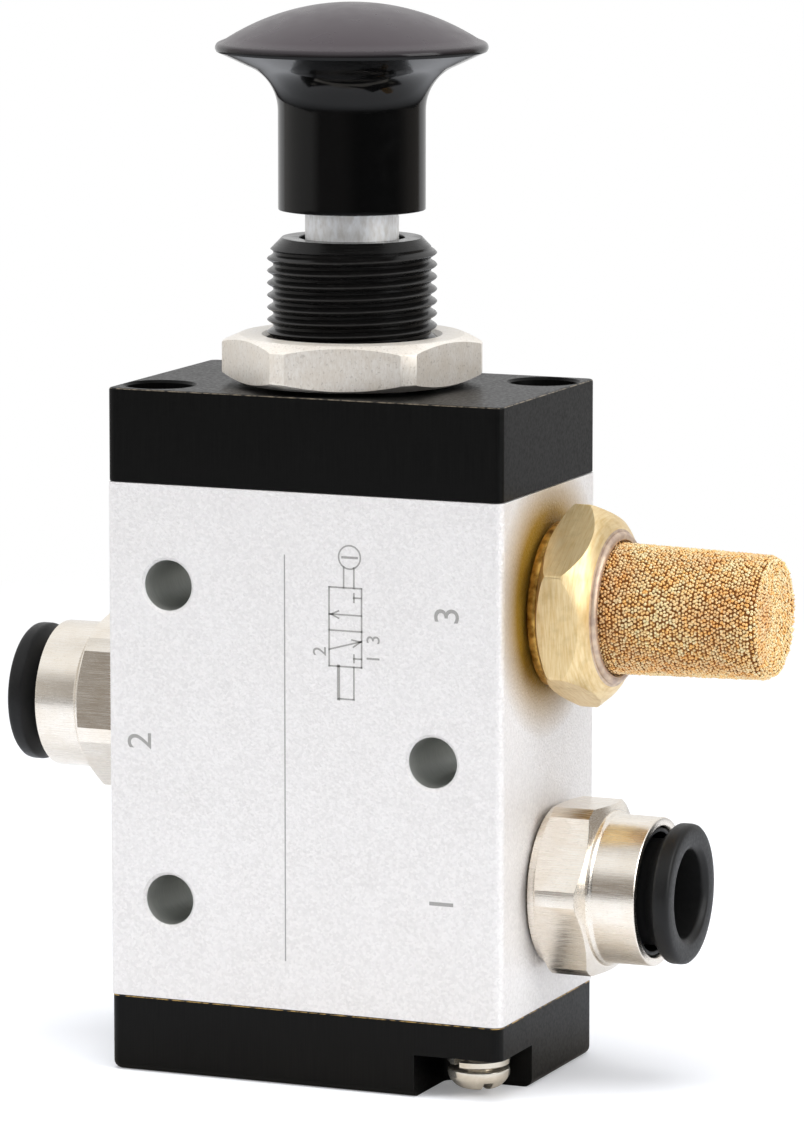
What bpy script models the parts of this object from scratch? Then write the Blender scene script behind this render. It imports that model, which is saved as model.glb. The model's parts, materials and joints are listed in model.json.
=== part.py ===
"""Hand-operated push-pull spool valve with two push-in tube fittings and an exhaust silencer.

Metres, +Z up along the spool. The origin is the centre of the bottom cover's underside.
+X points to the side with the supply fitting and the silencer, -Y to the printed front face.
"""
import math

import bmesh
import bpy
from mathutils import Matrix, Vector

MM = 0.001
QUARTER_TURN = math.pi / 2
SHARP_ANGLE = math.radians(35.0)

# Clearance between neighbouring pieces, and how far a cutter reaches past what it cuts
GAP = 0.3 * MM
OVERSHOOT = 1.0 * MM

# Push-in fittings: diameters, from the tube outwards to the port that takes them
TUBE_SOCKET_DIAMETER = 8.3 * MM
FLOW_BORE_DIAMETER = 6.0 * MM
SLEEVE_WALL = 0.85 * MM
GUIDE_RING_WALL = 0.5 * MM
BARREL_WALL = 0.9 * MM
BARREL_TO_HEX_STEP = 0.5 * MM
HEX_TO_PORT_STEP = 0.9 * MM
COLLAR_TO_BARREL_STEP = 0.4 * MM
SLEEVE_DIAMETER = TUBE_SOCKET_DIAMETER + 2 * SLEEVE_WALL
CAVITY_DIAMETER = SLEEVE_DIAMETER + 2 * (GUIDE_RING_WALL + 2 * GAP)
BARREL_DIAMETER = CAVITY_DIAMETER + 2 * BARREL_WALL
COLLAR_DIAMETER = BARREL_DIAMETER - 2 * COLLAR_TO_BARREL_STEP
HEX_ACROSS_FLATS = BARREL_DIAMETER + 2 * BARREL_TO_HEX_STEP
PORT_DIAMETER = HEX_ACROSS_FLATS - 2 * HEX_TO_PORT_STEP

# Push-in fittings: lengths along their own axis
HEX_LENGTH = 5.7 * MM
HEX_SHOULDER = 0.7 * MM
HEX_CHAMFER = 0.7 * MM
STUB_CHAMFER = 0.3 * MM
BARREL_LENGTH = 4.0 * MM
BARREL_EDGE = 0.25 * MM
TUBE_SOCKET_DEPTH = 6.4 * MM
TUBE_SEAL_LENGTH = 2.4 * MM
TUBE_SEAL_LIP = 0.5 * MM
GRAB_RING_THICKNESS = 0.4 * MM
GRAB_RING_RISE = 0.5 * MM
GUIDE_RING_LENGTH = 1.8 * MM
COLLAR_FLANGE_THICKNESS = 1.7 * MM
COLLAR_BEAD_HEIGHT = 0.6 * MM
COLLAR_BEAD_LENGTH = 0.8 * MM
COLLAR_BEAD_CHAMFER = 0.3 * MM
COLLAR_TRAVEL = 1.2 * MM
COLLAR_EDGE = 0.5 * MM
COLLAR_MOUTH = 0.8 * MM
HEX_TURN_P = math.radians(26.5)
HEX_TURN_A = math.radians(15.0)

# Exhaust silencer: the bronze element sets the rim and the hexagon around it
ELEMENT_DIAMETER = 12.5 * MM
ELEMENT_TAPER = 0.35 * MM
ELEMENT_LENGTH = 18.9 * MM
ELEMENT_CHAMFER = 0.7 * MM
ELEMENT_WALL = 2.4 * MM
ELEMENT_SEAT_DEPTH = 4.0 * MM
SILENCER_RIM_WALL = 0.55 * MM
SILENCER_RIM_LENGTH = 0.4 * MM
SILENCER_RIM_TO_HEX_STEP = 1.4 * MM
SILENCER_HEX_LENGTH = 5.1 * MM
SILENCER_CHAMFER = 1.1 * MM
SILENCER_CONE_LENGTH = 1.3 * MM
SILENCER_CONE_STEP = 0.45 * MM
SILENCER_CONE_BLEND = 0.9 * MM
SILENCER_RIM_CHAMFER = 0.2 * MM
SILENCER_FLANGE_STEP = 0.6 * MM
SILENCER_FLANGE_LENGTH = 1.0 * MM
SILENCER_RIM_DIAMETER = ELEMENT_DIAMETER + 2 * (GAP + SILENCER_RIM_WALL)
SILENCER_ACROSS_FLATS = SILENCER_RIM_DIAMETER + 2 * SILENCER_RIM_TO_HEX_STEP
SILENCER_FLANGE_DIAMETER = SILENCER_ACROSS_FLATS - 2 * SILENCER_FLANGE_STEP

# Spool and its O-rings
BORE_DIAMETER = 14.0 * MM
STROKE = 5.2 * MM
SPOOL_WAIST_DIAMETER = 7.0 * MM
SPOOL_NECK_DIAMETER = 8.8 * MM
SPOOL_VENT_DIAMETER = 2.4 * MM
SPOOL_OUTLET_DIAMETER = 1.6 * MM
SPOOL_SEAL_CORD = 1.8 * MM
SPOOL_LAND_LIP = 0.6 * MM
SPOOL_TOP_MARGIN = 0.8 * MM
SPOOL_BEVEL = 0.25 * MM
OUTLET_SEAL_MARGIN = 0.3 * MM

# Rod, its coupling to the spool, and its wiper seal
ROD_SEAL_CORD = 1.8 * MM
ROD_SEAL_COVER = 2.2 * MM
ROD_BEVEL = 0.3 * MM
COUPLING_WALL = 1.3 * MM
COUPLING_LIP = 1.5 * MM
BUTTON_THICKNESS = 1.6 * MM
BUTTON_NECK_DIAMETER = 3.4 * MM
BUTTON_DIAMETER = SPOOL_NECK_DIAMETER - 2 * COUPLING_WALL
ROD_STUB_DIAMETER = 6.0 * MM
ROD_STUB_LENGTH = 9.0 * MM
ROD_SEAT_DEPTH = 1.8 * MM

# Face seals between the body and its covers
FACE_SEAL_CORD = 1.2 * MM
FACE_SEAL_WALL = 1.4 * MM
FACE_SEAL_EDGE = 0.1 * MM
FACE_SEAL_DIAMETER = BORE_DIAMETER + 2 * (FACE_SEAL_WALL + GAP) + FACE_SEAL_CORD

# Guide bushing: the thread has a wall round the rod seal, the flange covers the face seal
BUSHING_WALL = 1.2 * MM
BUSHING_BEVEL = 0.4 * MM
BUSHING_MOUTH_STEP = 0.25 * MM
BUSHING_MOUTH_DEPTH = 3.0 * MM
THREAD_TOP_CHAMFER = 1.25 * MM
THREAD_LENGTH = 13.8 * MM
FLANGE_SHOULDER = 2.0 * MM
GUIDE_DIAMETER = SPOOL_NECK_DIAMETER + 2 * GAP
BUSHING_MOUTH_DIAMETER = GUIDE_DIAMETER + 2 * BUSHING_MOUTH_STEP
THREAD_DIAMETER = GUIDE_DIAMETER + 2 * (ROD_SEAL_CORD + GAP + BUSHING_WALL)
FLANGE_DIAMETER = max(THREAD_DIAMETER + 2 * FLANGE_SHOULDER,
                      FACE_SEAL_DIAMETER + FACE_SEAL_CORD + 2 * FACE_SEAL_EDGE)

# Detent
BALL_DIAMETER = 2.5 * MM
DETENT_GROOVE_DEPTH = 0.6 * MM
SPRING_WIRE = 0.4 * MM
SPRING_COILS = 3

# Panel nut
NUT_WALL = 3.0 * MM
NUT_CORNER_TRIM = 0.45 * MM
NUT_FACE_STEP = 0.4 * MM
NUT_THICKNESS = 4.4 * MM
NUT_BORE_BEVEL = 0.5 * MM
NUT_CHAMFER_SLOPE = math.radians(30.0)
NUT_TURN = math.radians(18.3)
NUT_ACROSS_FLATS = THREAD_DIAMETER + 2 * NUT_WALL

# Covers
BOTTOM_COVER_HEIGHT = 7.1 * MM
TOP_COVER_HEIGHT = 8.7 * MM
COVER_INSET = 0.1 * MM
COVER_WALL = 1.7 * MM
COVER_ROOF = 2.9 * MM
BOTTOM_COVER_DRAFT = 0.3 * MM
BOTTOM_COVER_ROUND = 0.9 * MM
TOP_COVER_ROUND = 0.4 * MM

# Cover screws, their washers, and the counterbores and notches that take their heads
SCREW_DIAMETER = 3.0 * MM
SCREW_HEAD_DIAMETER = 5.8 * MM
SCREW_HEAD_HEIGHT = 2.0 * MM
SCREW_CROWN = 0.9 * MM
SCREW_GRIP = 5.0 * MM
SCREW_SLOT_WIDTH = 0.8 * MM
SCREW_SLOT_DEPTH = 0.9 * MM
WASHER_THICKNESS = 0.9 * MM
WASHER_SPLIT = 0.6 * MM
WASHER_SPLIT_LEAN = math.radians(40.0)
HEAD_CLEARANCE = 0.35 * MM
COUNTERBORE_DEPTH = 5.0 * MM
COUNTERBORE_WALL_X = 0.55 * MM
COUNTERBORE_WALL_Y = 0.85 * MM
NOTCH_MARGIN_X = 1.9 * MM
NOTCH_MARGIN_Y = 1.1 * MM
NOTCH_RECESS = 0.55 * MM
NOTCH_ROUND = 1.0 * MM
NOTCH_OVERSHOOT = 4.0 * MM
COUNTERBORE_DIAMETER = SCREW_HEAD_DIAMETER + 2 * HEAD_CLEARANCE
SCREW_INSET_X = COUNTERBORE_DIAMETER / 2 + COUNTERBORE_WALL_X
SCREW_INSET_Y = COUNTERBORE_DIAMETER / 2 + COUNTERBORE_WALL_Y
NOTCH_WIDTH = SCREW_INSET_X + SCREW_HEAD_DIAMETER / 2 + NOTCH_MARGIN_X
NOTCH_DEPTH = SCREW_INSET_Y + SCREW_HEAD_DIAMETER / 2 + NOTCH_MARGIN_Y
NOTCH_HEIGHT = NOTCH_RECESS + SCREW_HEAD_HEIGHT + WASHER_THICKNESS + 2 * GAP

# Body: its height is the two hexagons on its right side with the room around them
BODY_WIDTH = 40.0 * MM
BODY_EDGE_RADIUS = 1.0 * MM
FITTING_TO_COVER = 2.54 * MM
FITTING_TO_SILENCER = 8.13 * MM
SILENCER_TO_COVER = 1.18 * MM
PORT_A_ABOVE_P = 14.9 * MM
PORT_SETBACK = 1.2 * MM
PORT_CHAMFER = 0.5 * MM
PORT_FLOOR = 2.5 * MM
PORT_RUNOUT = 1.5 * MM
PORT_CONE_SLOPE = math.radians(20.0)
PASSAGE_DIAMETER = 6.0 * MM
OUTLET_PASSAGE_DIAMETER = 8.0 * MM
MOUNT_HOLE_DIAMETER = 4.8 * MM
MOUNT_HOLE_INSET_LEFT = 6.3 * MM
MOUNT_HOLE_INSET_RIGHT = 6.9 * MM
MOUNT_HOLE_INSET_END = 9.4 * MM
MOUNT_HOLE_CHAMFER = 0.25 * MM
BODY_DEPTH = FLANGE_DIAMETER + 2 * (GAP + COVER_WALL + COVER_INSET)
HEX_CORNER_RADIUS = HEX_ACROSS_FLATS / math.sqrt(3)
SILENCER_CORNER_RADIUS = SILENCER_ACROSS_FLATS / math.sqrt(3)
PORT_P_HEIGHT = FITTING_TO_COVER + HEX_CORNER_RADIUS
PORT_A_HEIGHT = PORT_P_HEIGHT + PORT_A_ABOVE_P
PORT_R_HEIGHT = PORT_P_HEIGHT + HEX_CORNER_RADIUS + FITTING_TO_SILENCER + SILENCER_CORNER_RADIUS
BODY_HEIGHT = PORT_R_HEIGHT + SILENCER_CORNER_RADIUS + SILENCER_TO_COVER
PORT_DEPTH = (BODY_WIDTH - BORE_DIAMETER) / 2 - PORT_FLOOR
STUB_LENGTH = PORT_DEPTH - PORT_RUNOUT

# Knob
KNOB_CLEARANCE = 2.6 * MM
KNOB_STEM_DIAMETER = 13.86 * MM
KNOB_STEM_LENGTH = 9.3 * MM
KNOB_STEM_CHAMFER = 0.3 * MM
KNOB_FLARE_RADIUS = 4.5 * MM
KNOB_FLARE_SLOPE = math.radians(20.0)
KNOB_DIAMETER = 25.6 * MM
KNOB_RIM_RADIUS = 0.55 * MM
KNOB_DOME_RADIUS = 22.0 * MM

# Facets around a full turn
FINE = 28
MEDIUM = 20
COARSE = 16
SMALL = 12
CORD_SIDES = 6
WIRE_STEPS = 8

# Heights above the origin that several pieces share
BODY_BOTTOM = BOTTOM_COVER_HEIGHT + GAP
BODY_TOP = BODY_BOTTOM + BODY_HEIGHT
COVER_BOTTOM = BODY_TOP + GAP
COVER_TOP = COVER_BOTTOM + TOP_COVER_HEIGHT
THREAD_TOP = COVER_TOP + THREAD_LENGTH
FLANGE_TOP = COVER_TOP - COVER_ROOF - GAP
FLANGE_BOTTOM = BODY_TOP + GAP
DETENT_HEIGHT = (FLANGE_TOP + FLANGE_BOTTOM) / 2
SPOOL_BOTTOM = BODY_BOTTOM
ROD_SEAL_HALF = ROD_SEAL_CORD / 2 + GAP
ROD_SEAL_HEIGHT = THREAD_TOP - BUSHING_MOUTH_DEPTH - ROD_SEAL_COVER - ROD_SEAL_HALF
SPOOL_TOP = ROD_SEAL_HEIGHT - ROD_SEAL_HALF - STROKE - SPOOL_TOP_MARGIN
KNOB_BOTTOM = THREAD_TOP + KNOB_CLEARANCE
VALVE_COLLECTION = "push_pull_valve"
CUTTER_COLLECTION = "cutters"


def clear_scene():
    """Remove every object of the open file."""
    for thing in list(bpy.data.objects):
        bpy.data.objects.remove(thing, do_unlink=True)


def new_collection(name):
    """Return a collection linked to the scene."""
    group = bpy.data.collections.new(name)
    bpy.context.scene.collection.children.link(group)
    return group


def new_material(name, color, roughness, metallic):
    """Return a Principled material; the colour is linear red, green and blue."""
    material = bpy.data.materials.new(name)
    material.use_nodes = True
    shader = material.node_tree.nodes["Principled BSDF"]
    shader.inputs["Base Color"].default_value = (*color, 1.0)
    shader.inputs["Roughness"].default_value = roughness
    shader.inputs["Metallic"].default_value = metallic
    return material


def make_materials():
    """Return the finishes by name."""
    return {
        "anodised": new_material("anodised", (0.74, 0.74, 0.74), 0.45, 1.0),
        "black_cover": new_material("black_cover", (0.02, 0.02, 0.02), 0.5, 0.0),
        "black_gloss": new_material("black_gloss", (0.012, 0.012, 0.012), 0.12, 0.0),
        "black_thread": new_material("black_thread", (0.02, 0.02, 0.02), 0.25, 0.0),
        "black_collar": new_material("black_collar", (0.03, 0.03, 0.03), 0.4, 0.0),
        "nickel": new_material("nickel", (0.68, 0.63, 0.57), 0.25, 1.0),
        "steel": new_material("steel", (0.56, 0.56, 0.57), 0.3, 1.0),
        "brass": new_material("brass", (0.62, 0.48, 0.2), 0.25, 1.0),
        "bronze": new_material("bronze", (0.8, 0.5, 0.22), 0.6, 1.0),
        "rubber": new_material("rubber", (0.015, 0.015, 0.015), 0.7, 0.0),
    }


def add_object(name, mesh, group, material=None):
    """Link a mesh as a named object and give it its finish."""
    thing = bpy.data.objects.new(name, mesh)
    group.objects.link(thing)
    if material is not None:
        mesh.materials.append(material)
    return thing


def as_cutter(thing):
    """Show a cutter as wire and keep it out of renders."""
    thing.hide_render = True
    thing.display_type = "WIRE"
    return thing


def arc(centre_r, centre_z, radius, start, end, count):
    """Return points on an arc; angles in radians from +X, count points after the start."""
    points = []
    for step in range(count + 1):
        angle = start + (end - start) * step / count
        points.append((centre_r + radius * math.cos(angle), centre_z + radius * math.sin(angle)))
    return points


def ring_section(centre_r, centre_z, radius, count):
    """Return a round section whose points run over its top and down its outer side."""
    points = arc(centre_r, centre_z, radius, math.pi, -math.pi, count)
    return points[:-1]


def turned(name, profile, steps, group, material=None, closed=False):
    """Spin a profile of (radius, height) points about Z with a Screw modifier."""
    mesh = bpy.data.meshes.new(name)
    points = [(radius, 0.0, height) for radius, height in profile]
    edges = [(index, index + 1) for index in range(len(points) - 1)]
    if closed:
        edges.append((len(points) - 1, 0))
    mesh.from_pydata(points, edges, [])
    thing = add_object(name, mesh, group, material)
    screw = thing.modifiers.new("turn", "SCREW")
    screw.axis = "Z"
    screw.angle = 2 * math.pi
    screw.steps = steps
    screw.render_steps = steps
    screw.use_merge_vertices = True
    screw.merge_threshold = 0.00001
    screw.use_smooth_shade = True
    return thing


def block(name, size, centre, edge_round, top_round, bottom_round, group, material=None, draft=0.0):
    """Return a box with rounded uprights and rims; draft draws its lower face in."""
    shape = bmesh.new()
    bmesh.ops.create_cube(shape, size=1.0)
    bmesh.ops.scale(shape, vec=size, verts=shape.verts)
    for vert in shape.verts:
        if vert.co.z < 0:
            vert.co.x -= math.copysign(draft, vert.co.x)
            vert.co.y -= math.copysign(draft, vert.co.y)
    uprights = []
    for edge in shape.edges:
        if abs(edge.verts[0].co.z - edge.verts[1].co.z) > size[2] / 2:
            uprights.append(edge)
    if edge_round > 0:
        bmesh.ops.bevel(shape, geom=uprights, offset=edge_round, segments=4, profile=0.5, affect="EDGES")
    for level, amount in ((size[2] / 2, top_round), (-size[2] / 2, bottom_round)):
        if amount > 0:
            rim = [edge for edge in shape.edges
                   if all(abs(vert.co.z - level) < GAP / 100 for vert in edge.verts)]
            bmesh.ops.bevel(shape, geom=rim, offset=amount, segments=3, profile=0.5, affect="EDGES")
    bmesh.ops.translate(shape, vec=centre, verts=shape.verts)
    bmesh.ops.recalc_face_normals(shape, faces=shape.faces)
    mesh = bpy.data.meshes.new(name)
    shape.to_mesh(mesh)
    shape.free()
    return add_object(name, mesh, group, material)


def rod_between(name, start, end, radius, steps, group, material=None):
    """Return a plain cylinder from start to end."""
    start, end = Vector(start), Vector(end)
    run = end - start
    turn = run.to_track_quat("Z", "Y").to_matrix().to_4x4()
    shape = bmesh.new()
    bmesh.ops.create_cone(shape, cap_ends=True, segments=steps, radius1=radius, radius2=radius,
                          depth=run.length, matrix=Matrix.Translation((start + end) / 2) @ turn)
    mesh = bpy.data.meshes.new(name)
    shape.to_mesh(mesh)
    shape.free()
    return add_object(name, mesh, group, material)


def hexagon(name, across_flats, bottom, top, turn, group, material=None):
    """Return a hexagonal bar along Z whose first corner is turned from +X by turn."""
    shape = bmesh.new()
    corner_radius = across_flats / math.sqrt(3)
    bmesh.ops.create_cone(shape, cap_ends=True, segments=6, radius1=corner_radius, radius2=corner_radius,
                          depth=top - bottom, matrix=Matrix.Rotation(turn - QUARTER_TURN, 4, "Z"))
    bmesh.ops.translate(shape, vec=(0, 0, (top + bottom) / 2), verts=shape.verts)
    mesh = bpy.data.meshes.new(name)
    shape.to_mesh(mesh)
    shape.free()
    return add_object(name, mesh, group, material)


def boolean(thing, other, operation):
    """Cut, keep or join with another object, which stays as a live operand."""
    step = thing.modifiers.new(operation.lower(), "BOOLEAN")
    step.operation = operation
    step.solver = "EXACT"
    step.object = other
    as_cutter(other)


def smooth(thing, angle=SHARP_ANGLE):
    """Shade a mesh smooth with sharp edges past an angle."""
    thing.data.shade_smooth()
    thing.data.set_sharp_from_angle(angle=angle)


def o_ring(name, centre_radius, cord, height, steps, group, material):
    """Return a rubber ring of round section about Z."""
    section = ring_section(centre_radius, height, cord / 2, CORD_SIDES)
    return turned(name, section, steps, group, material, closed=True)


def screw_places(side):
    """Return a cover's two diagonal screw places; side is that of the front one, 1 for right."""
    x = side * (BODY_WIDTH / 2 - SCREW_INSET_X)
    y = BODY_DEPTH / 2 - SCREW_INSET_Y
    return [(x, -y), (-x, y)]


def screw_profile(head_top, tip):
    """Return the half section of a pan-head screw whose head is up and whose tip is down."""
    shank = SCREW_DIAMETER / 2
    head = SCREW_HEAD_DIAMETER / 2
    under = head_top - SCREW_HEAD_HEIGHT
    crown = arc(head - SCREW_CROWN, head_top - SCREW_CROWN, SCREW_CROWN, QUARTER_TURN, 0.0, 2)
    return [(0.0, head_top)] + crown + [(head, under), (shank, under), (shank, tip + shank / 2),
                                        (shank / 2, tip), (0.0, tip)]


def make_screw(name, profile, head_top, flip, place, finish, groups):
    """Return one slotted screw; flip turns its head downwards."""
    parts, cutters = groups
    screw = turned(name, profile, SMALL, parts, finish)
    slot = block("cut_slot_of_" + name, (SCREW_HEAD_DIAMETER * 2, SCREW_SLOT_WIDTH, SCREW_SLOT_DEPTH * 2),
                 (0, 0, head_top), 0, 0, 0, cutters)
    boolean(screw, slot, "DIFFERENCE")
    for thing in (screw, slot):
        thing.rotation_euler = (math.pi if flip else 0.0, 0.0, 0.0)
        thing.location = (place[0], place[1], 0.0)
    return screw


def make_body(finish, groups):
    """Drilled and bored body block with three ports and its mounting holes."""
    parts, cutters = groups
    body = block("valve_body", (BODY_WIDTH, BODY_DEPTH, BODY_HEIGHT), (0, 0, (BODY_BOTTOM + BODY_TOP) / 2),
                 BODY_EDGE_RADIUS, 0, 0, parts, finish["anodised"])
    bore = rod_between("cut_bore", (0, 0, BODY_BOTTOM - OVERSHOOT), (0, 0, BODY_TOP + OVERSHOOT),
                       BORE_DIAMETER / 2, MEDIUM, cutters)
    boolean(body, bore, "DIFFERENCE")
    ports = (("p", 1, PORT_P_HEIGHT, PASSAGE_DIAMETER), ("r", 1, PORT_R_HEIGHT, PASSAGE_DIAMETER),
             ("a", -1, PORT_A_HEIGHT, OUTLET_PASSAGE_DIAMETER))
    for name, side, height, passage in ports:
        pocket = turned("cut_port_" + name, port_profile(passage / 2), MEDIUM, cutters)
        place_on_side(pocket, side, height)
        boolean(body, pocket, "DIFFERENCE")
    for index, (x, height) in enumerate(mount_hole_places()):
        hole = turned("cut_mount_hole_%d" % (index + 1), mount_hole_profile(), COARSE, cutters)
        hole.rotation_euler = (QUARTER_TURN, 0, 0)
        hole.location = (x, 0, BODY_BOTTOM + height)
        boolean(body, hole, "DIFFERENCE")
    hole_radius = SCREW_DIAMETER / 2 + GAP
    thread_depth = SCREW_GRIP + GAP
    for index, (x, y) in enumerate(screw_places(1)):
        hole = rod_between("cut_lower_thread_%d" % (index + 1), (x, y, BODY_BOTTOM - OVERSHOOT),
                           (x, y, BODY_BOTTOM + thread_depth), hole_radius, SMALL, cutters)
        boolean(body, hole, "DIFFERENCE")
    for index, (x, y) in enumerate(screw_places(-1)):
        hole = rod_between("cut_upper_thread_%d" % (index + 1), (x, y, BODY_TOP - thread_depth),
                           (x, y, BODY_TOP + OVERSHOOT), hole_radius, SMALL, cutters)
        boolean(body, hole, "DIFFERENCE")
    depth = FACE_SEAL_CORD + GAP
    for name, low, high in (("lower", BODY_BOTTOM - OVERSHOOT, BODY_BOTTOM + depth),
                            ("upper", BODY_TOP - depth, BODY_TOP + OVERSHOOT)):
        inner = (FACE_SEAL_DIAMETER - FACE_SEAL_CORD) / 2 - GAP
        outer = (FACE_SEAL_DIAMETER + FACE_SEAL_CORD) / 2 + GAP
        section = [(outer, high), (outer, low), (inner, low), (inner, high)]
        groove = turned("cut_%s_groove" % name, section, COARSE, cutters, closed=True)
        boolean(body, groove, "DIFFERENCE")
    return body


def port_profile(passage_radius):
    """Half section of a port along its own axis: mouth, tapped pocket, drill cone and passage."""
    mouth = PORT_DIAMETER / 2
    face = BODY_WIDTH / 2
    floor = face - PORT_DEPTH
    outside = face + PORT_CHAMFER
    inside = BORE_DIAMETER / 4
    cone = (mouth - passage_radius) * math.tan(PORT_CONE_SLOPE)
    return [(0.0, outside), (mouth + 2 * PORT_CHAMFER, outside), (mouth, face - PORT_CHAMFER),
            (mouth, floor), (passage_radius, floor - cone), (passage_radius, inside), (0.0, inside)]


def mount_hole_profile():
    """Half section of a through hole with a light countersink at each face."""
    radius = MOUNT_HOLE_DIAMETER / 2
    half = BODY_DEPTH / 2
    rim = MOUNT_HOLE_CHAMFER
    return [(0.0, half + rim), (radius + 2 * rim, half + rim), (radius, half - rim), (radius, rim - half),
            (radius + 2 * rim, -half - rim), (0.0, -half - rim)]


def mount_hole_places():
    """Return the x and height of the three mounting holes: two left, one right at mid height."""
    left = MOUNT_HOLE_INSET_LEFT - BODY_WIDTH / 2
    right = BODY_WIDTH / 2 - MOUNT_HOLE_INSET_RIGHT
    low = MOUNT_HOLE_INSET_END
    return [(left, low), (left, BODY_HEIGHT - low), (right, BODY_HEIGHT / 2)]


def place_on_side(thing, side, height, turn=0.0):
    """Lay a piece made along Z along the port axis on one side of the body."""
    thing.rotation_mode = "QUATERNION"
    spin = Matrix.Rotation(side * QUARTER_TURN, 4, "Y") @ Matrix.Rotation(turn, 4, "Z")
    thing.rotation_quaternion = spin.to_quaternion()
    thing.location = (0.0, PORT_SETBACK, BODY_BOTTOM + height)


def make_bottom_cover(finish, groups):
    """Cast end cap with two corner notches for its screws."""
    parts, cutters = groups
    width = BODY_WIDTH - 2 * COVER_INSET
    depth = BODY_DEPTH - 2 * COVER_INSET
    cover = block("bottom_cover", (width, depth, BOTTOM_COVER_HEIGHT), (0, 0, BOTTOM_COVER_HEIGHT / 2),
                  BODY_EDGE_RADIUS, 0, BOTTOM_COVER_ROUND, parts, finish["black_cover"],
                  draft=BOTTOM_COVER_DRAFT)
    size = [length + NOTCH_OVERSHOOT for length in (NOTCH_WIDTH, NOTCH_DEPTH, NOTCH_HEIGHT)]
    for index, (x, y) in enumerate(screw_places(1)):
        outer_x = math.copysign(BODY_WIDTH / 2 + NOTCH_OVERSHOOT - size[0] / 2, x)
        outer_y = math.copysign(BODY_DEPTH / 2 + NOTCH_OVERSHOOT - size[1] / 2, y)
        centre = (outer_x, outer_y, NOTCH_HEIGHT - size[2] / 2)
        notch = block("cut_notch_%d" % (index + 1), size, centre, NOTCH_ROUND, 0, 0, cutters)
        boolean(cover, notch, "DIFFERENCE")
    low, high = NOTCH_HEIGHT - OVERSHOOT, BOTTOM_COVER_HEIGHT + OVERSHOOT
    for index, (x, y) in enumerate(screw_places(1)):
        hole = rod_between("cut_lower_hole_%d" % (index + 1), (x, y, low), (x, y, high),
                           SCREW_DIAMETER / 2 + GAP, SMALL, cutters)
        boolean(cover, hole, "DIFFERENCE")
    return cover


def make_bottom_fasteners(finish, groups):
    """Two slotted pan-head screws with spring washers, heads in the cover's notches."""
    parts, cutters = groups
    places = screw_places(1)
    washer_top = NOTCH_HEIGHT - GAP
    washer_bottom = washer_top - WASHER_THICKNESS
    head_face = washer_bottom - GAP - SCREW_HEAD_HEIGHT
    profile = screw_profile(-head_face, -(BODY_BOTTOM + SCREW_GRIP))
    inner = SCREW_DIAMETER / 2 + GAP
    outer = SCREW_HEAD_DIAMETER / 2
    section = [(outer, washer_top), (outer, washer_bottom), (inner, washer_bottom), (inner, washer_top)]
    for side, place in zip(("right", "left"), places):
        make_screw("bottom_cover_screw_" + side, profile, -head_face, True, place, finish["nickel"], groups)
        washer = turned("spring_washer_" + side, section, COARSE, parts, finish["nickel"], closed=True)
        split = block("cut_split_" + side, (SCREW_HEAD_DIAMETER, WASHER_SPLIT, WASHER_THICKNESS * 3),
                      (0, 0, 0), 0, 0, 0, cutters)
        split.rotation_euler = (WASHER_SPLIT_LEAN, 0, 0)
        washer.location = (place[0], place[1], 0.0)
        split.location = (place[0] + SCREW_HEAD_DIAMETER / 2, place[1], (washer_top + washer_bottom) / 2)
        boolean(washer, split, "DIFFERENCE")


def make_top_cover(finish, groups):
    """Upper cap with the bushing's recess and two counterbored screw holes."""
    parts, cutters = groups
    width = BODY_WIDTH - 2 * COVER_INSET
    depth = BODY_DEPTH - 2 * COVER_INSET
    cover = block("top_cover", (width, depth, TOP_COVER_HEIGHT), (0, 0, (COVER_BOTTOM + COVER_TOP) / 2),
                  BODY_EDGE_RADIUS, TOP_COVER_ROUND, 0, parts, finish["black_cover"])
    recess = FLANGE_DIAMETER / 2 + GAP
    hole = THREAD_DIAMETER / 2 + GAP
    above = COVER_TOP + OVERSHOOT
    below = COVER_BOTTOM - OVERSHOOT
    profile = [(0.0, above), (hole, above), (hole, FLANGE_TOP + GAP), (recess, FLANGE_TOP + GAP),
               (recess, below), (0.0, below)]
    boolean(cover, turned("cut_bushing_seat", profile, FINE, cutters), "DIFFERENCE")
    head = COUNTERBORE_DIAMETER / 2
    shank = SCREW_DIAMETER / 2 + GAP
    floor = COVER_TOP - COUNTERBORE_DEPTH
    stepped = [(0.0, above), (head, above), (head, floor), (shank, floor), (shank, below), (0.0, below)]
    places = screw_places(-1)
    for index, (x, y) in enumerate(places):
        cut = turned("cut_upper_hole_%d" % (index + 1), stepped, COARSE, cutters)
        cut.location = (x, y, 0.0)
        boolean(cover, cut, "DIFFERENCE")
    head_top = floor + GAP + SCREW_HEAD_HEIGHT
    profile = screw_profile(head_top, BODY_TOP - SCREW_GRIP)
    for side, place in zip(("left", "right"), places):
        make_screw("top_cover_screw_" + side, profile, head_top, False, place, finish["steel"], groups)
    return cover


def make_face_seals(finish, groups):
    """O-rings that seal the body's two end faces to the cover and the bushing."""
    parts = groups[0]
    middle = FACE_SEAL_CORD / 2
    o_ring("bottom_face_seal", FACE_SEAL_DIAMETER / 2, FACE_SEAL_CORD, BODY_BOTTOM + middle, COARSE, parts,
           finish["rubber"])
    o_ring("top_face_seal", FACE_SEAL_DIAMETER / 2, FACE_SEAL_CORD, BODY_TOP - middle, COARSE, parts,
           finish["rubber"])


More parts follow.
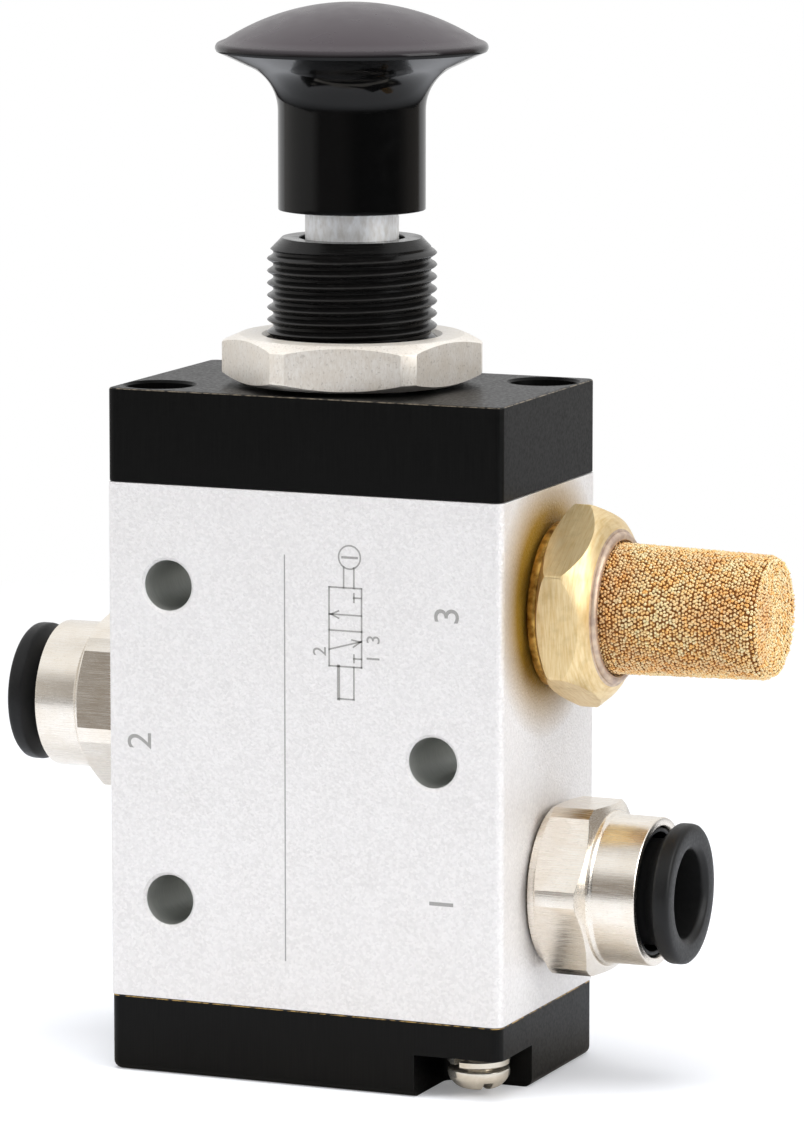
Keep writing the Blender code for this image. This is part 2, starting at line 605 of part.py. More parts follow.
def make_bushing(finish, groups):
    """Guide bushing: trapped flange with the detent holes, and the panel thread's cylinder."""
    parts, cutters = groups
    flange = FLANGE_DIAMETER / 2
    thread = THREAD_DIAMETER / 2
    guide = GUIDE_DIAMETER / 2
    mouth = BUSHING_MOUTH_DIAMETER / 2
    groove = guide + ROD_SEAL_CORD + GAP
    groove_low = ROD_SEAL_HEIGHT - ROD_SEAL_HALF
    groove_high = ROD_SEAL_HEIGHT + ROD_SEAL_HALF
    mouth_floor = THREAD_TOP - BUSHING_MOUTH_DEPTH
    bevel = BUSHING_BEVEL
    profile = [(thread - THREAD_TOP_CHAMFER, THREAD_TOP), (thread, THREAD_TOP - THREAD_TOP_CHAMFER),
               (thread, FLANGE_TOP), (flange - bevel, FLANGE_TOP), (flange, FLANGE_TOP - bevel),
               (flange, FLANGE_BOTTOM), (guide, FLANGE_BOTTOM), (guide, groove_low), (groove, groove_low),
               (groove, groove_high), (guide, groove_high), (guide, mouth_floor),
               (mouth, mouth_floor + BUSHING_MOUTH_STEP), (mouth, THREAD_TOP - bevel),
               (mouth + bevel, THREAD_TOP)]
    bushing = turned("threaded_bushing", profile, MEDIUM, parts, finish["black_thread"], closed=True)
    reach = flange + OVERSHOOT
    drill = rod_between("cut_detent_holes", (-reach, 0, DETENT_HEIGHT), (reach, 0, DETENT_HEIGHT),
                        BALL_DIAMETER / 2 + GAP, SMALL, cutters)
    boolean(bushing, drill, "DIFFERENCE")
    o_ring("rod_seal", guide + ROD_SEAL_CORD / 2, ROD_SEAL_CORD, ROD_SEAL_HEIGHT, COARSE, parts,
           finish["rubber"])
    return bushing


def make_detent(finish, groups):
    """Two steel balls, each pushed at the spool neck by a short coil spring."""
    parts = groups[0]
    ball_radius = BALL_DIAMETER / 2
    ball_place = SPOOL_NECK_DIAMETER / 2 + GAP + ball_radius
    spring_start = ball_place + ball_radius + GAP / 2
    spring_end = FLANGE_DIAMETER / 2 - SPRING_WIRE / 2
    for name, side in (("left", -1), ("right", 1)):
        shape = bmesh.new()
        bmesh.ops.create_uvsphere(shape, u_segments=12, v_segments=8, radius=ball_radius)
        mesh = bpy.data.meshes.new("detent_ball_" + name)
        shape.to_mesh(mesh)
        shape.free()
        ball = add_object("detent_ball_" + name, mesh, parts, finish["steel"])
        ball.location = (side * ball_place, 0.0, DETENT_HEIGHT)
        smooth(ball)
        coil = coil_mesh("detent_spring_" + name, ball_radius - SPRING_WIRE / 2,
                         spring_end - spring_start - SPRING_WIRE / 2)
        spring = add_object("detent_spring_" + name, coil, parts, finish["steel"])
        spring.rotation_euler = (0.0, side * QUARTER_TURN, 0.0)
        spring.location = (side * (spring_start + SPRING_WIRE / 2), 0.0, DETENT_HEIGHT)


def coil_mesh(name, radius, length):
    """Return a helical wire along +Z as one closed mesh."""
    path = bpy.data.curves.new(name + "_path", "CURVE")
    path.dimensions = "3D"
    path.bevel_depth = SPRING_WIRE / 2
    path.bevel_resolution = 1
    path.use_fill_caps = True
    count = SPRING_COILS * WIRE_STEPS
    line = path.splines.new("POLY")
    line.points.add(count)
    for index, point in enumerate(line.points):
        angle = 2 * math.pi * index / WIRE_STEPS
        height = length * index / count
        point.co = (radius * math.cos(angle), radius * math.sin(angle), height, 1.0)
    guide = bpy.data.objects.new(name + "_path", path)
    bpy.context.scene.collection.objects.link(guide)
    evaluated = guide.evaluated_get(bpy.context.evaluated_depsgraph_get())
    mesh = bpy.data.meshes.new_from_object(evaluated)
    mesh.name = name
    bpy.data.objects.remove(guide, do_unlink=True)
    shape = bmesh.new()
    shape.from_mesh(mesh)
    bmesh.ops.remove_doubles(shape, verts=shape.verts, dist=0.000001)
    bmesh.ops.recalc_face_normals(shape, faces=shape.faces)
    shape.to_mesh(mesh)
    shape.free()
    return mesh


def make_nut(finish, groups):
    """Hexagonal panel nut, chamfered on both faces."""
    parts, cutters = groups
    bottom = COVER_TOP + GAP
    top = bottom + NUT_THICKNESS
    turn = -QUARTER_TURN + NUT_TURN + math.pi / 6
    nut = hexagon("panel_nut", NUT_ACROSS_FLATS, bottom, top, turn, parts, finish["nickel"])
    corner = NUT_ACROSS_FLATS / math.sqrt(3) - NUT_CORNER_TRIM
    face = NUT_ACROSS_FLATS / 2 - NUT_FACE_STEP
    slope = (corner - face) * math.tan(NUT_CHAMFER_SLOPE)
    outline = [(0.0, top), (face, top), (corner, top - slope), (corner, bottom + slope), (face, bottom),
               (0.0, bottom)]
    boolean(nut, turned("keep_nut_corners", outline, FINE, cutters), "INTERSECT")
    bore = THREAD_DIAMETER / 2 + GAP
    bevel = NUT_BORE_BEVEL
    hole = [(0.0, top + bevel), (bore + 2 * bevel, top + bevel), (bore, top - bevel),
            (bore, bottom - bevel), (0.0, bottom - bevel)]
    boolean(nut, turned("cut_nut_bore", hole, FINE, cutters), "DIFFERENCE")
    return nut


def spool_seal_heights():
    """Return the heights of the spool's four O-rings above the origin, knob pushed in."""
    half = SPOOL_SEAL_CORD / 2
    land_half = half + GAP + SPOOL_LAND_LIP
    outlet_low = PORT_A_HEIGHT - OUTLET_PASSAGE_DIAMETER / 2
    outlet_high = PORT_A_HEIGHT + OUTLET_PASSAGE_DIAMETER / 2
    lowest = land_half
    supply = outlet_low - OUTLET_SEAL_MARGIN - half
    exhaust = outlet_high + OUTLET_SEAL_MARGIN + half - STROKE
    highest = FLANGE_BOTTOM - BODY_BOTTOM - GAP - STROKE - land_half
    return [BODY_BOTTOM + height for height in (lowest, supply, exhaust, highest)]


def make_spool(finish, groups):
    """Turned spool with three lands, a waist between them, detent grooves and the rod's slot."""
    parts, cutters = groups
    land = BORE_DIAMETER / 2 - GAP
    waist = SPOOL_WAIST_DIAMETER / 2
    neck = SPOOL_NECK_DIAMETER / 2
    half = SPOOL_SEAL_CORD / 2
    groove = BORE_DIAMETER / 2 - 2 * GAP - SPOOL_SEAL_CORD
    slot = half + GAP
    edge = slot + SPOOL_LAND_LIP
    low, supply, exhaust, high = spool_seal_heights()
    bevel = SPOOL_BEVEL

    def seal_groove(height):
        high_side, low_side = height + slot, height - slot
        return [(land, high_side), (groove, high_side), (groove, low_side), (land, low_side)]

    def detent_groove(height):
        depth = DETENT_GROOVE_DEPTH
        return [(neck, height + 2 * depth), (neck - depth, height + depth / 2),
                (neck - depth, height - depth / 2), (neck, height - 2 * depth)]

    profile = [(0.0, SPOOL_TOP), (neck - bevel, SPOOL_TOP), (neck, SPOOL_TOP - bevel)]
    profile += detent_groove(DETENT_HEIGHT)
    profile += detent_groove(DETENT_HEIGHT - STROKE)
    profile += [(neck, high + edge), (land, high + edge)]
    profile += seal_groove(high)
    profile += [(land, high - edge), (waist, high - edge - (land - waist) / 2)]
    profile += [(waist, exhaust + edge + (land - waist) / 4), (land, exhaust + edge)]
    profile += seal_groove(exhaust) + seal_groove(supply)
    profile += [(land, supply - edge), (waist, supply - edge - (land - waist) / 4)]
    profile += [(waist, low + edge + (land - waist) / 4), (land, low + edge)]
    profile += seal_groove(low)
    profile += [(land, SPOOL_BOTTOM + GAP + bevel), (land - bevel, SPOOL_BOTTOM), (0.0, SPOOL_BOTTOM)]
    spool = turned("spool", profile, COARSE, parts, finish["steel"])
    vent_top = high + edge + SPOOL_VENT_DIAMETER / 2
    vent = rod_between("cut_vent", (0, 0, SPOOL_BOTTOM - OVERSHOOT), (0, 0, vent_top),
                       SPOOL_VENT_DIAMETER / 2, SMALL, cutters)
    boolean(spool, vent, "DIFFERENCE")
    reach = neck + OVERSHOOT
    outlet = rod_between("cut_vent_outlet", (0, -reach, vent_top), (0, reach, vent_top),
                         SPOOL_OUTLET_DIAMETER / 2, SMALL, cutters)
    boolean(spool, outlet, "DIFFERENCE")
    button_room = SPOOL_TOP - COUPLING_LIP
    button_floor = button_room - BUTTON_THICKNESS - 2 * GAP
    for name, radius, bottom, top in (
            ("button", BUTTON_DIAMETER / 2 + GAP, button_floor, button_room),
            ("button_neck", BUTTON_NECK_DIAMETER / 2 + GAP, button_room - GAP, SPOOL_TOP + OVERSHOOT)):
        round_end = rod_between("cut_%s_end" % name, (0, 0, bottom), (0, 0, top), radius, COARSE, cutters)
        boolean(spool, round_end, "DIFFERENCE")
        side_slot = block("cut_%s_slot" % name, (2 * radius, reach, top - bottom),
                          (0, reach / 2, (top + bottom) / 2), 0, 0, 0, cutters)
        boolean(spool, side_slot, "DIFFERENCE")
    return spool


def make_spool_seals(finish, groups):
    """The four O-rings that ride in the spool's grooves."""
    radius = BORE_DIAMETER / 2 - GAP - SPOOL_SEAL_CORD / 2
    names = ("spool_seal_bottom", "spool_seal_supply", "spool_seal_exhaust", "spool_seal_top")
    for name, height in zip(names, spool_seal_heights()):
        o_ring(name, radius, SPOOL_SEAL_CORD, height, COARSE, groups[0], finish["rubber"])


def make_rod(finish, groups):
    """Ground rod: button in the spool's slot below, threaded stub in the knob above."""
    neck = BUTTON_NECK_DIAMETER / 2
    button = BUTTON_DIAMETER / 2
    radius = SPOOL_NECK_DIAMETER / 2
    stub = ROD_STUB_DIAMETER / 2
    shoulder = KNOB_BOTTOM + ROD_SEAT_DEPTH
    top = shoulder + ROD_STUB_LENGTH
    low = SPOOL_TOP + GAP
    button_top = SPOOL_TOP - COUPLING_LIP - GAP
    button_bottom = button_top - BUTTON_THICKNESS
    bevel = ROD_BEVEL
    profile = [(0.0, top), (stub - bevel, top), (stub, top - bevel), (stub, shoulder),
               (radius - bevel, shoulder), (radius, shoulder - bevel), (radius, low + bevel),
               (radius - bevel, low), (neck, low), (neck, button_top), (button, button_top),
               (button, button_bottom), (0.0, button_bottom)]
    return turned("rod", profile, MEDIUM, groups[0], finish["steel"])


def make_knob(finish, groups):
    """Mushroom knob: shallow dome, thin rounded rim, flared underside and straight stem."""
    stem = KNOB_STEM_DIAMETER / 2
    flare_start = KNOB_BOTTOM + KNOB_STEM_LENGTH
    flare_centre = stem + KNOB_FLARE_RADIUS
    slope = KNOB_FLARE_SLOPE
    flare = arc(flare_centre, flare_start, KNOB_FLARE_RADIUS, QUARTER_TURN + slope, math.pi, 5)
    flare_end_r, flare_end_z = flare[0]
    rim_r = KNOB_DIAMETER / 2 - KNOB_RIM_RADIUS
    under_r = rim_r + KNOB_RIM_RADIUS * math.sin(slope)
    under_z = flare_end_z + (under_r - flare_end_r) * math.tan(slope)
    rim_z = under_z + KNOB_RIM_RADIUS * math.cos(slope)
    inner_radius = KNOB_DOME_RADIUS - KNOB_RIM_RADIUS
    dome_centre = rim_z - math.sqrt(inner_radius ** 2 - rim_r ** 2)
    lean = math.asin(rim_r / inner_radius)
    dome = arc(0.0, dome_centre, KNOB_DOME_RADIUS, QUARTER_TURN, QUARTER_TURN - lean, 6)
    rim = arc(rim_r, rim_z, KNOB_RIM_RADIUS, QUARTER_TURN - lean, slope - QUARTER_TURN, 3)
    seat = SPOOL_NECK_DIAMETER / 2 + GAP
    seat_top = KNOB_BOTTOM + ROD_SEAT_DEPTH + GAP
    hole = ROD_STUB_DIAMETER / 2 + GAP
    hole_top = KNOB_BOTTOM + ROD_SEAT_DEPTH + ROD_STUB_LENGTH + GAP
    profile = dome + rim[1:] + flare
    profile += [(stem, KNOB_BOTTOM + KNOB_STEM_CHAMFER), (stem - KNOB_STEM_CHAMFER, KNOB_BOTTOM),
                (seat, KNOB_BOTTOM), (seat, seat_top), (hole, seat_top), (hole, hole_top), (0.0, hole_top)]
    profile[0] = (0.0, profile[0][1])
    return turned("knob", profile, FINE, groups[0], finish["black_gloss"])


def fitting_levels():
    """Return the heights along a fitting's axis from the valve's centre plane."""
    face = BODY_WIDTH / 2
    hex_back = face + GAP
    hex_front = hex_back + HEX_LENGTH
    barrel_start = hex_front + HEX_SHOULDER
    barrel_end = barrel_start + BARREL_LENGTH
    guide_bottom = barrel_end - BARREL_EDGE - GUIDE_RING_LENGTH
    collar_bottom = guide_bottom - GAP - COLLAR_BEAD_LENGTH
    ring_bottom = collar_bottom - COLLAR_TRAVEL - GAP - GRAB_RING_THICKNESS - GRAB_RING_RISE
    cavity_floor = ring_bottom - 2 * GAP - TUBE_SEAL_LENGTH
    flange_bottom = barrel_end + COLLAR_TRAVEL + GAP
    return {"face": face, "hex_back": hex_back, "hex_front": hex_front, "barrel_start": barrel_start,
            "barrel_end": barrel_end, "cavity_floor": cavity_floor, "ring_bottom": ring_bottom,
            "collar_bottom": collar_bottom, "guide_bottom": guide_bottom, "flange_bottom": flange_bottom}


def make_fitting(letter, side, height, hex_turn, finish, groups):
    """One straight push-in fitting: body, tube seal, grab ring, guide ring and release collar."""
    parts, cutters = groups
    level = fitting_levels()
    prefix = "fitting_%s_" % letter
    corner = HEX_CORNER_RADIUS
    flat = HEX_ACROSS_FLATS / 2
    barrel = BARREL_DIAMETER / 2
    stub = PORT_DIAMETER / 2 - GAP
    cavity = CAVITY_DIAMETER / 2
    socket = TUBE_SOCKET_DIAMETER / 2
    flow = FLOW_BORE_DIAMETER / 2
    stub_end = level["face"] - STUB_LENGTH
    stop = level["cavity_floor"] - TUBE_SOCKET_DEPTH
    body = hexagon(prefix + "body", HEX_ACROSS_FLATS, level["hex_back"], level["barrel_start"],
                   hex_turn, parts, finish["nickel"])
    back, front, start = level["hex_back"], level["hex_front"], level["barrel_start"]
    outline = [(0.0, start), (barrel, start), (flat, front + HEX_SHOULDER / 2),
               (corner, front - HEX_SHOULDER / 2), (corner, back + HEX_CHAMFER), (flat, back), (0.0, back)]
    keep = turned("keep_%s_hex" % letter, outline, MEDIUM, cutters)
    boolean(body, keep, "INTERSECT")
    end = level["barrel_end"]
    overlap = HEX_LENGTH / 2
    tube = [(0.0, end), (barrel - BARREL_EDGE, end), (barrel, end - BARREL_EDGE),
            (barrel, start - overlap), (stub, start - overlap), (stub, stub_end + STUB_CHAMFER),
            (stub - STUB_CHAMFER, stub_end), (0.0, stub_end)]
    barrel_piece = turned("join_%s_barrel" % letter, tube, MEDIUM, cutters)
    boolean(body, barrel_piece, "UNION")
    floor = level["cavity_floor"]
    hollow = [(0.0, end + OVERSHOOT), (cavity, end + OVERSHOOT), (cavity, floor), (socket, floor),
              (socket, stop), (flow, stop), (flow, stub_end - OVERSHOOT), (0.0, stub_end - OVERSHOOT)]
    bore = turned("cut_%s_bore" % letter, hollow, MEDIUM, cutters)
    boolean(body, bore, "DIFFERENCE")

    inner = cavity - GAP
    seal_bottom = floor + GAP
    seal_top = seal_bottom + TUBE_SEAL_LENGTH
    lip = TUBE_SEAL_LIP
    seal_profile = [(inner, seal_top), (inner, seal_bottom), (socket + lip, seal_bottom),
                    (socket, seal_bottom + lip), (socket, seal_top - 2 * lip), (socket + lip, seal_top)]
    seal = turned(prefix + "tube_seal", seal_profile, COARSE, parts, finish["rubber"], closed=True)
    ring_bottom = level["ring_bottom"]
    ring_profile = [(inner, ring_bottom + GRAB_RING_THICKNESS + GRAB_RING_RISE),
                    (inner, ring_bottom + GRAB_RING_RISE), (socket, ring_bottom),
                    (socket, ring_bottom + GRAB_RING_THICKNESS)]
    ring = turned(prefix + "grab_ring", ring_profile, COARSE, parts, finish["steel"], closed=True)
    sleeve = SLEEVE_DIAMETER / 2
    guide_profile = [(inner, end - BARREL_EDGE), (inner, level["guide_bottom"]),
                     (sleeve + GAP, level["guide_bottom"]), (sleeve + GAP, end - BARREL_EDGE)]
    guide = turned(prefix + "guide_ring", guide_profile, COARSE, parts, finish["brass"], closed=True)
    collar_bottom = level["collar_bottom"]
    bead = sleeve + COLLAR_BEAD_HEIGHT
    bead_top = collar_bottom + COLLAR_BEAD_LENGTH
    flange = COLLAR_DIAMETER / 2
    flange_bottom = level["flange_bottom"]
    flange_top = flange_bottom + COLLAR_FLANGE_THICKNESS
    edge = COLLAR_EDGE
    bevel = COLLAR_BEAD_CHAMFER
    collar_profile = arc(flange - edge, flange_top - edge, edge, QUARTER_TURN, 0.0, 3)
    collar_profile += [(flange, flange_bottom + edge / 2), (flange - edge / 2, flange_bottom),
                       (sleeve, flange_bottom), (sleeve, bead_top), (bead, bead_top),
                       (bead, collar_bottom + bevel), (bead - bevel, collar_bottom), (socket, collar_bottom),
                       (socket, flange_top - COLLAR_MOUTH), (socket + COLLAR_MOUTH, flange_top)]
    collar = turned(prefix + "release_collar", collar_profile, MEDIUM, parts, finish["black_collar"],
                    closed=True)
    for thing in (body, keep, barrel_piece, bore, seal, ring, guide, collar):
        place_on_side(thing, side, height)


def make_silencer(finish, groups):
    """Exhaust silencer: brass hexagon with a turned flange and a hollow sintered bronze cup."""
    parts, cutters = groups
    face = BODY_WIDTH / 2
    back = face + GAP
    hex_back = back + SILENCER_FLANGE_LENGTH
    hex_front = back + SILENCER_FLANGE_LENGTH + SILENCER_HEX_LENGTH
    front = hex_front + SILENCER_RIM_LENGTH
    corner = SILENCER_CORNER_RADIUS
    flange = SILENCER_FLANGE_DIAMETER / 2
    rim = SILENCER_RIM_DIAMETER / 2
    element = ELEMENT_DIAMETER / 2
    stub = PORT_DIAMETER / 2 - GAP
    stub_end = face - STUB_LENGTH
    flow = element - ELEMENT_WALL
    seat_floor = front - ELEMENT_SEAT_DEPTH
    body = hexagon("silencer_body", SILENCER_ACROSS_FLATS, hex_back - SILENCER_FLANGE_LENGTH / 2,
                   hex_front, 0.0, parts, finish["brass"])
    cut = SILENCER_CHAMFER
    cone = hex_front - SILENCER_CONE_LENGTH
    outline = [(0.0, hex_front), (rim, hex_front), (corner - SILENCER_CONE_STEP, cone),
               (corner, cone - SILENCER_CONE_BLEND), (corner, hex_back + cut), (flange, hex_back),
               (flange, hex_back - SILENCER_FLANGE_LENGTH), (0.0, hex_back - SILENCER_FLANGE_LENGTH)]
    keep = turned("keep_silencer_hex", outline, FINE, cutters)
    boolean(body, keep, "INTERSECT")
    shank = [(0.0, front), (rim - SILENCER_RIM_CHAMFER, front), (rim, front - SILENCER_RIM_CHAMFER),
             (rim, hex_front - cut), (flange, hex_back + cut), (flange, back), (stub, back),
             (stub, stub_end + STUB_CHAMFER), (stub - STUB_CHAMFER, stub_end), (0.0, stub_end)]
    shank_piece = turned("join_silencer_shank", shank, FINE, cutters)
    boolean(body, shank_piece, "UNION")
    hollow = [(0.0, front + OVERSHOOT), (element + GAP, front + OVERSHOOT), (element + GAP, seat_floor),
              (flow, seat_floor), (flow, stub_end - OVERSHOOT), (0.0, stub_end - OVERSHOOT)]
    bore = turned("cut_silencer_bore", hollow, FINE, cutters)
    boolean(body, bore, "DIFFERENCE")
    bottom = seat_floor + GAP
    top = bottom + ELEMENT_LENGTH
    tip = element - ELEMENT_TAPER
    cup = [(0.0, top), (tip - ELEMENT_CHAMFER, top), (tip, top - ELEMENT_CHAMFER), (element, bottom),
           (flow, bottom), (flow, top - ELEMENT_WALL), (0.0, top - ELEMENT_WALL)]
    element_piece = turned("silencer_element", cup, FINE, parts, finish["bronze"])
    for thing in (body, keep, shank_piece, bore, element_piece):
        place_on_side(thing, 1, PORT_R_HEIGHT)


def build():
    """Make every sub-part."""
    clear_scene()
    groups = (new_collection(VALVE_COLLECTION), new_collection(CUTTER_COLLECTION))
    finish = make_materials()
    make_body(finish, groups)
    make_bottom_cover(finish, groups)
    make_bottom_fasteners(finish, groups)
    make_top_cover(finish, groups)
    make_face_seals(finish, groups)
    make_bushing(finish, groups)
    make_detent(finish, groups)
    make_nut(finish, groups)
    make_spool(finish, groups)
    make_spool_seals(finish, groups)
    make_rod(finish, groups)
    make_knob(finish, groups)
    make_fitting("p", 1, PORT_P_HEIGHT, HEX_TURN_P, finish, groups)
    make_fitting("a", -1, PORT_A_HEIGHT, HEX_TURN_A, finish, groups)
    make_silencer(finish, groups)


build()
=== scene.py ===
import json
import math
import random

import bpy
from mathutils import Matrix, Vector

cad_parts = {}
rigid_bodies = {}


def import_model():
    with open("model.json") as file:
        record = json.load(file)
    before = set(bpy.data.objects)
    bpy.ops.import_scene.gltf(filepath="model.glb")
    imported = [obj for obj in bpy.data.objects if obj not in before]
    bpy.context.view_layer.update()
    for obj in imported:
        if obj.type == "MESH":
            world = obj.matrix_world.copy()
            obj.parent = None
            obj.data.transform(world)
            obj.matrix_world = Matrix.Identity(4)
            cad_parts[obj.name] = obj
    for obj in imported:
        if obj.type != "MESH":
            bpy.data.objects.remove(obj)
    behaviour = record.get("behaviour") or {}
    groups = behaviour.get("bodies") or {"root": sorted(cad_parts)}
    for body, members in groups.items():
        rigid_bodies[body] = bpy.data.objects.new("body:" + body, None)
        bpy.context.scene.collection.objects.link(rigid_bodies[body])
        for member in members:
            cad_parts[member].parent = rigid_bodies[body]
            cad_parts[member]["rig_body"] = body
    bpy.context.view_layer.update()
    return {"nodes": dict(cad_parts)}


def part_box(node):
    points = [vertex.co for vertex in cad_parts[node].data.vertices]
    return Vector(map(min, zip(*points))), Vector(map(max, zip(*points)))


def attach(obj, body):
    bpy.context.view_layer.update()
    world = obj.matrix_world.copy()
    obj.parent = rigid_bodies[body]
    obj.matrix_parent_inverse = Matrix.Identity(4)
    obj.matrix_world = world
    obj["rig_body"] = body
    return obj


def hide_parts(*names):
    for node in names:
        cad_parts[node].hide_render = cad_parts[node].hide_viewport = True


# The looks of a push-pull valve. Sizes of the pieces are in millimetres, mm() turns them to metres, and
# each piece takes its place from the box of the CAD node that it stands for.

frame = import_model()

X_AXIS = Vector((1, 0, 0))
Y_AXIS = Vector((0, 1, 0))
Z_AXIS = Vector((0, 0, 1))

# The panel thread of the bushing.
THREAD_PITCH = 1.15
THREAD_CREST = 8.0

# How far the cover screws stand from the middle, and the radius of their holes.
SCREW_ACROSS = 16.2
SCREW_DEEP = 8
SCREW_HOLE = 1.75

# How fine the turned pieces are, in steps round the axis, and in steps over an eased corner.
FINE_TURN = 128
TURN = 96
SMALL_TURN = 48
EASE_STEPS = 3

# Points closer than this, in metres, are joined, and edges steeper than this angle stay sharp.
MERGE = 1e-7
SHARP = math.radians(32)


def mm(length):
    return length * 0.001


def centre(node):
    """The middle of a CAD node's box."""
    low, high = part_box(node)
    return (low + high) / 2


def reach(node, axis):
    """How far a CAD node reaches along an axis, lowest and highest, in millimetres."""
    low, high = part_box(node)
    return sorted((low.dot(axis) * 1000, high.dot(axis) * 1000))


def upright_place(node):
    """The foot of a node on the valve's axis, and its height and radius in millimetres."""
    low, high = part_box(node)
    return Vector((0, 0, low.z)), (high.z - low.z) * 1000, (high.x - low.x) * 500


def sideways_place(node, axis):
    """Where a sideways node's axis starts, and how far the node reaches along it in millimetres."""
    middle = centre(node)
    return Vector((0, middle.y, middle.z)), *reach(node, axis)


# Modelling helpers

def deselect():
    for piece in bpy.context.selected_objects:
        piece.select_set(False)


def pick(piece):
    """Make one object the selected and active one."""
    deselect()
    piece.select_set(True)
    bpy.context.view_layer.objects.active = piece


def mode(name):
    bpy.ops.object.mode_set(mode=name)


def merge():
    """Select all of the mesh being edited, and join what coincides."""
    bpy.ops.mesh.select_all(action="SELECT")
    bpy.ops.mesh.remove_doubles(threshold=MERGE)


def modified(piece, kind, **settings):
    """Change a piece's mesh with a modifier."""
    modifier = piece.modifiers.new("change", kind)
    for name, value in settings.items():
        setattr(modifier, name, value)
    pick(piece)
    bpy.ops.object.modifier_apply(modifier=modifier.name)


def settle(piece):
    """Put a piece's place, turn and scale into its mesh."""
    pick(piece)
    bpy.ops.object.transform_apply(location=True, rotation=True, scale=True)


def eased(corners):
    """Points of a profile whose corners are (along, radius) or (along, radius, ease)."""
    points = []
    for index, corner in enumerate(corners):
        here = Vector(corner[:2])
        ease = corner[2] if len(corner) > 2 else 0
        if ease == 0 or index in (0, len(corners) - 1):
            points.append(here)
            continue
        before = Vector(corners[index - 1][:2])
        after = Vector(corners[index + 1][:2])
        start = here + (before - here).normalized() * ease
        end = here + (after - here).normalized() * ease
        for step in range(EASE_STEPS + 1):
            share = step / EASE_STEPS
            points.append(start.lerp(here, share).lerp(here.lerp(end, share), share))
    return points


def arc(along, radius, size, first, last, steps):
    """Points of an arc round (along, radius) in a profile, with its angles in degrees."""
    points = []
    for step in range(steps + 1):
        angle = math.radians(first + (last - first) * step / steps)
        points.append((along + size * math.cos(angle), radius + size * math.sin(angle)))
    return points


def drawn_line(name, points):
    """A mesh of one vertex, extruded from point to point."""
    deselect()
    bpy.ops.mesh.primitive_plane_add(size=mm(1))
    piece = bpy.context.object
    piece.name = name
    mode("EDIT")
    bpy.ops.mesh.select_mode(type="VERT")
    bpy.ops.mesh.merge(type="CENTER")
    bpy.ops.transform.translate(value=points[0])
    for before, after in zip(points, points[1:]):
        bpy.ops.mesh.extrude_region_move(TRANSFORM_OT_translate={"value": after - before})
    return piece


def close_up():
    """Join what coincides in the mesh being edited, and turn its faces outwards."""
    merge()
    bpy.ops.mesh.normals_make_consistent(inside=False)
    mode("OBJECT")


def turned(name, corners, start, axis, steps=TURN):
    """Turn a profile round an axis, with its distances along the axis measured from the start."""
    side = axis.orthogonal().normalized()
    points = [start + axis * mm(along) + side * mm(radius) for along, radius in eased(corners)]
    piece = drawn_line(name, points)
    bpy.ops.mesh.select_all(action="SELECT")
    bpy.ops.mesh.spin(steps=steps, angle=math.tau, center=start, axis=axis)
    close_up()
    return piece


def wound(name, section, place, rise, turns, angle, steps):
    """Wind a closed section, given as (radius, height), upwards round a vertical axis."""
    points = [Vector((mm(radius), 0, mm(height))) for radius, height in section + section[:1]]
    piece = drawn_line(name, points)
    merge()
    mode("OBJECT")
    winding = {"angle": angle, "screw_offset": mm(rise), "iterations": turns}
    modified(piece, "SCREW", steps=steps, render_steps=steps, **winding)
    mode("EDIT")
    merge()
    bpy.ops.mesh.fill_holes(sides=len(section) + 2)
    bpy.ops.mesh.select_all(action="SELECT")
    bpy.ops.transform.translate(value=place)
    close_up()
    return piece


def block(name, low, high):
    """A plain block between two corners, as a start."""
    deselect()
    bpy.ops.mesh.primitive_cube_add(size=1, location=(low + high) / 2)
    piece = bpy.context.object
    piece.name = name
    piece.scale = high - low
    settle(piece)
    return piece


def ease_edges(piece, wanted, width, steps=3):
    """Round the edges whose two ends pass a test."""
    pick(piece)
    mode("EDIT")
    bpy.ops.mesh.select_mode(type="EDGE")
    bpy.ops.mesh.select_all(action="DESELECT")
    mode("OBJECT")
    vertices = piece.data.vertices
    for edge in piece.data.edges:
        edge.select = wanted(vertices[edge.vertices[0]].co, vertices[edge.vertices[1]].co)
    mode("EDIT")
    bpy.ops.mesh.bevel(offset=mm(width), segments=steps, affect="EDGES", clamp_overlap=True)
    mode("OBJECT")


def upright(first, second):
    return abs(first.z - second.z) > mm(1)


def combine(piece, tool, operation="DIFFERENCE"):
    """Cut a piece with a tool, join it, or keep what they share. The tool is used up."""
    modified(piece, "BOOLEAN", operation=operation, solver="EXACT", object=tool)
    bpy.data.objects.remove(tool)


def combine_round(piece, corners, start, axis, operation="DIFFERENCE"):
    """Cut a piece with a turned shape, join it, or keep what they share."""
    combine(piece, turned("tool", corners, start, axis, FINE_TURN), operation)


def dress(piece, node, finish, flat=False, sharp=SHARP):
    """Shade a piece, flat beside rounded edges if asked, finish it, and put it for its CAD node."""
    pick(piece)
    bpy.ops.object.shade_smooth_by_angle(angle=sharp)
    if flat:
        modified(piece, "WEIGHTED_NORMAL", keep_sharp=True)
    piece.data.materials.clear()
    piece.data.materials.append(finish)
    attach(piece, frame["nodes"][node]["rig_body"])
    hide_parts(node)


def finish_faces(piece, finish, wanted):
    """Give a second finish to the faces that pass a test."""
    piece.data.materials.append(finish)
    for face in piece.data.polygons:
        if wanted(face):
            face.material_index = len(piece.data.materials) - 1


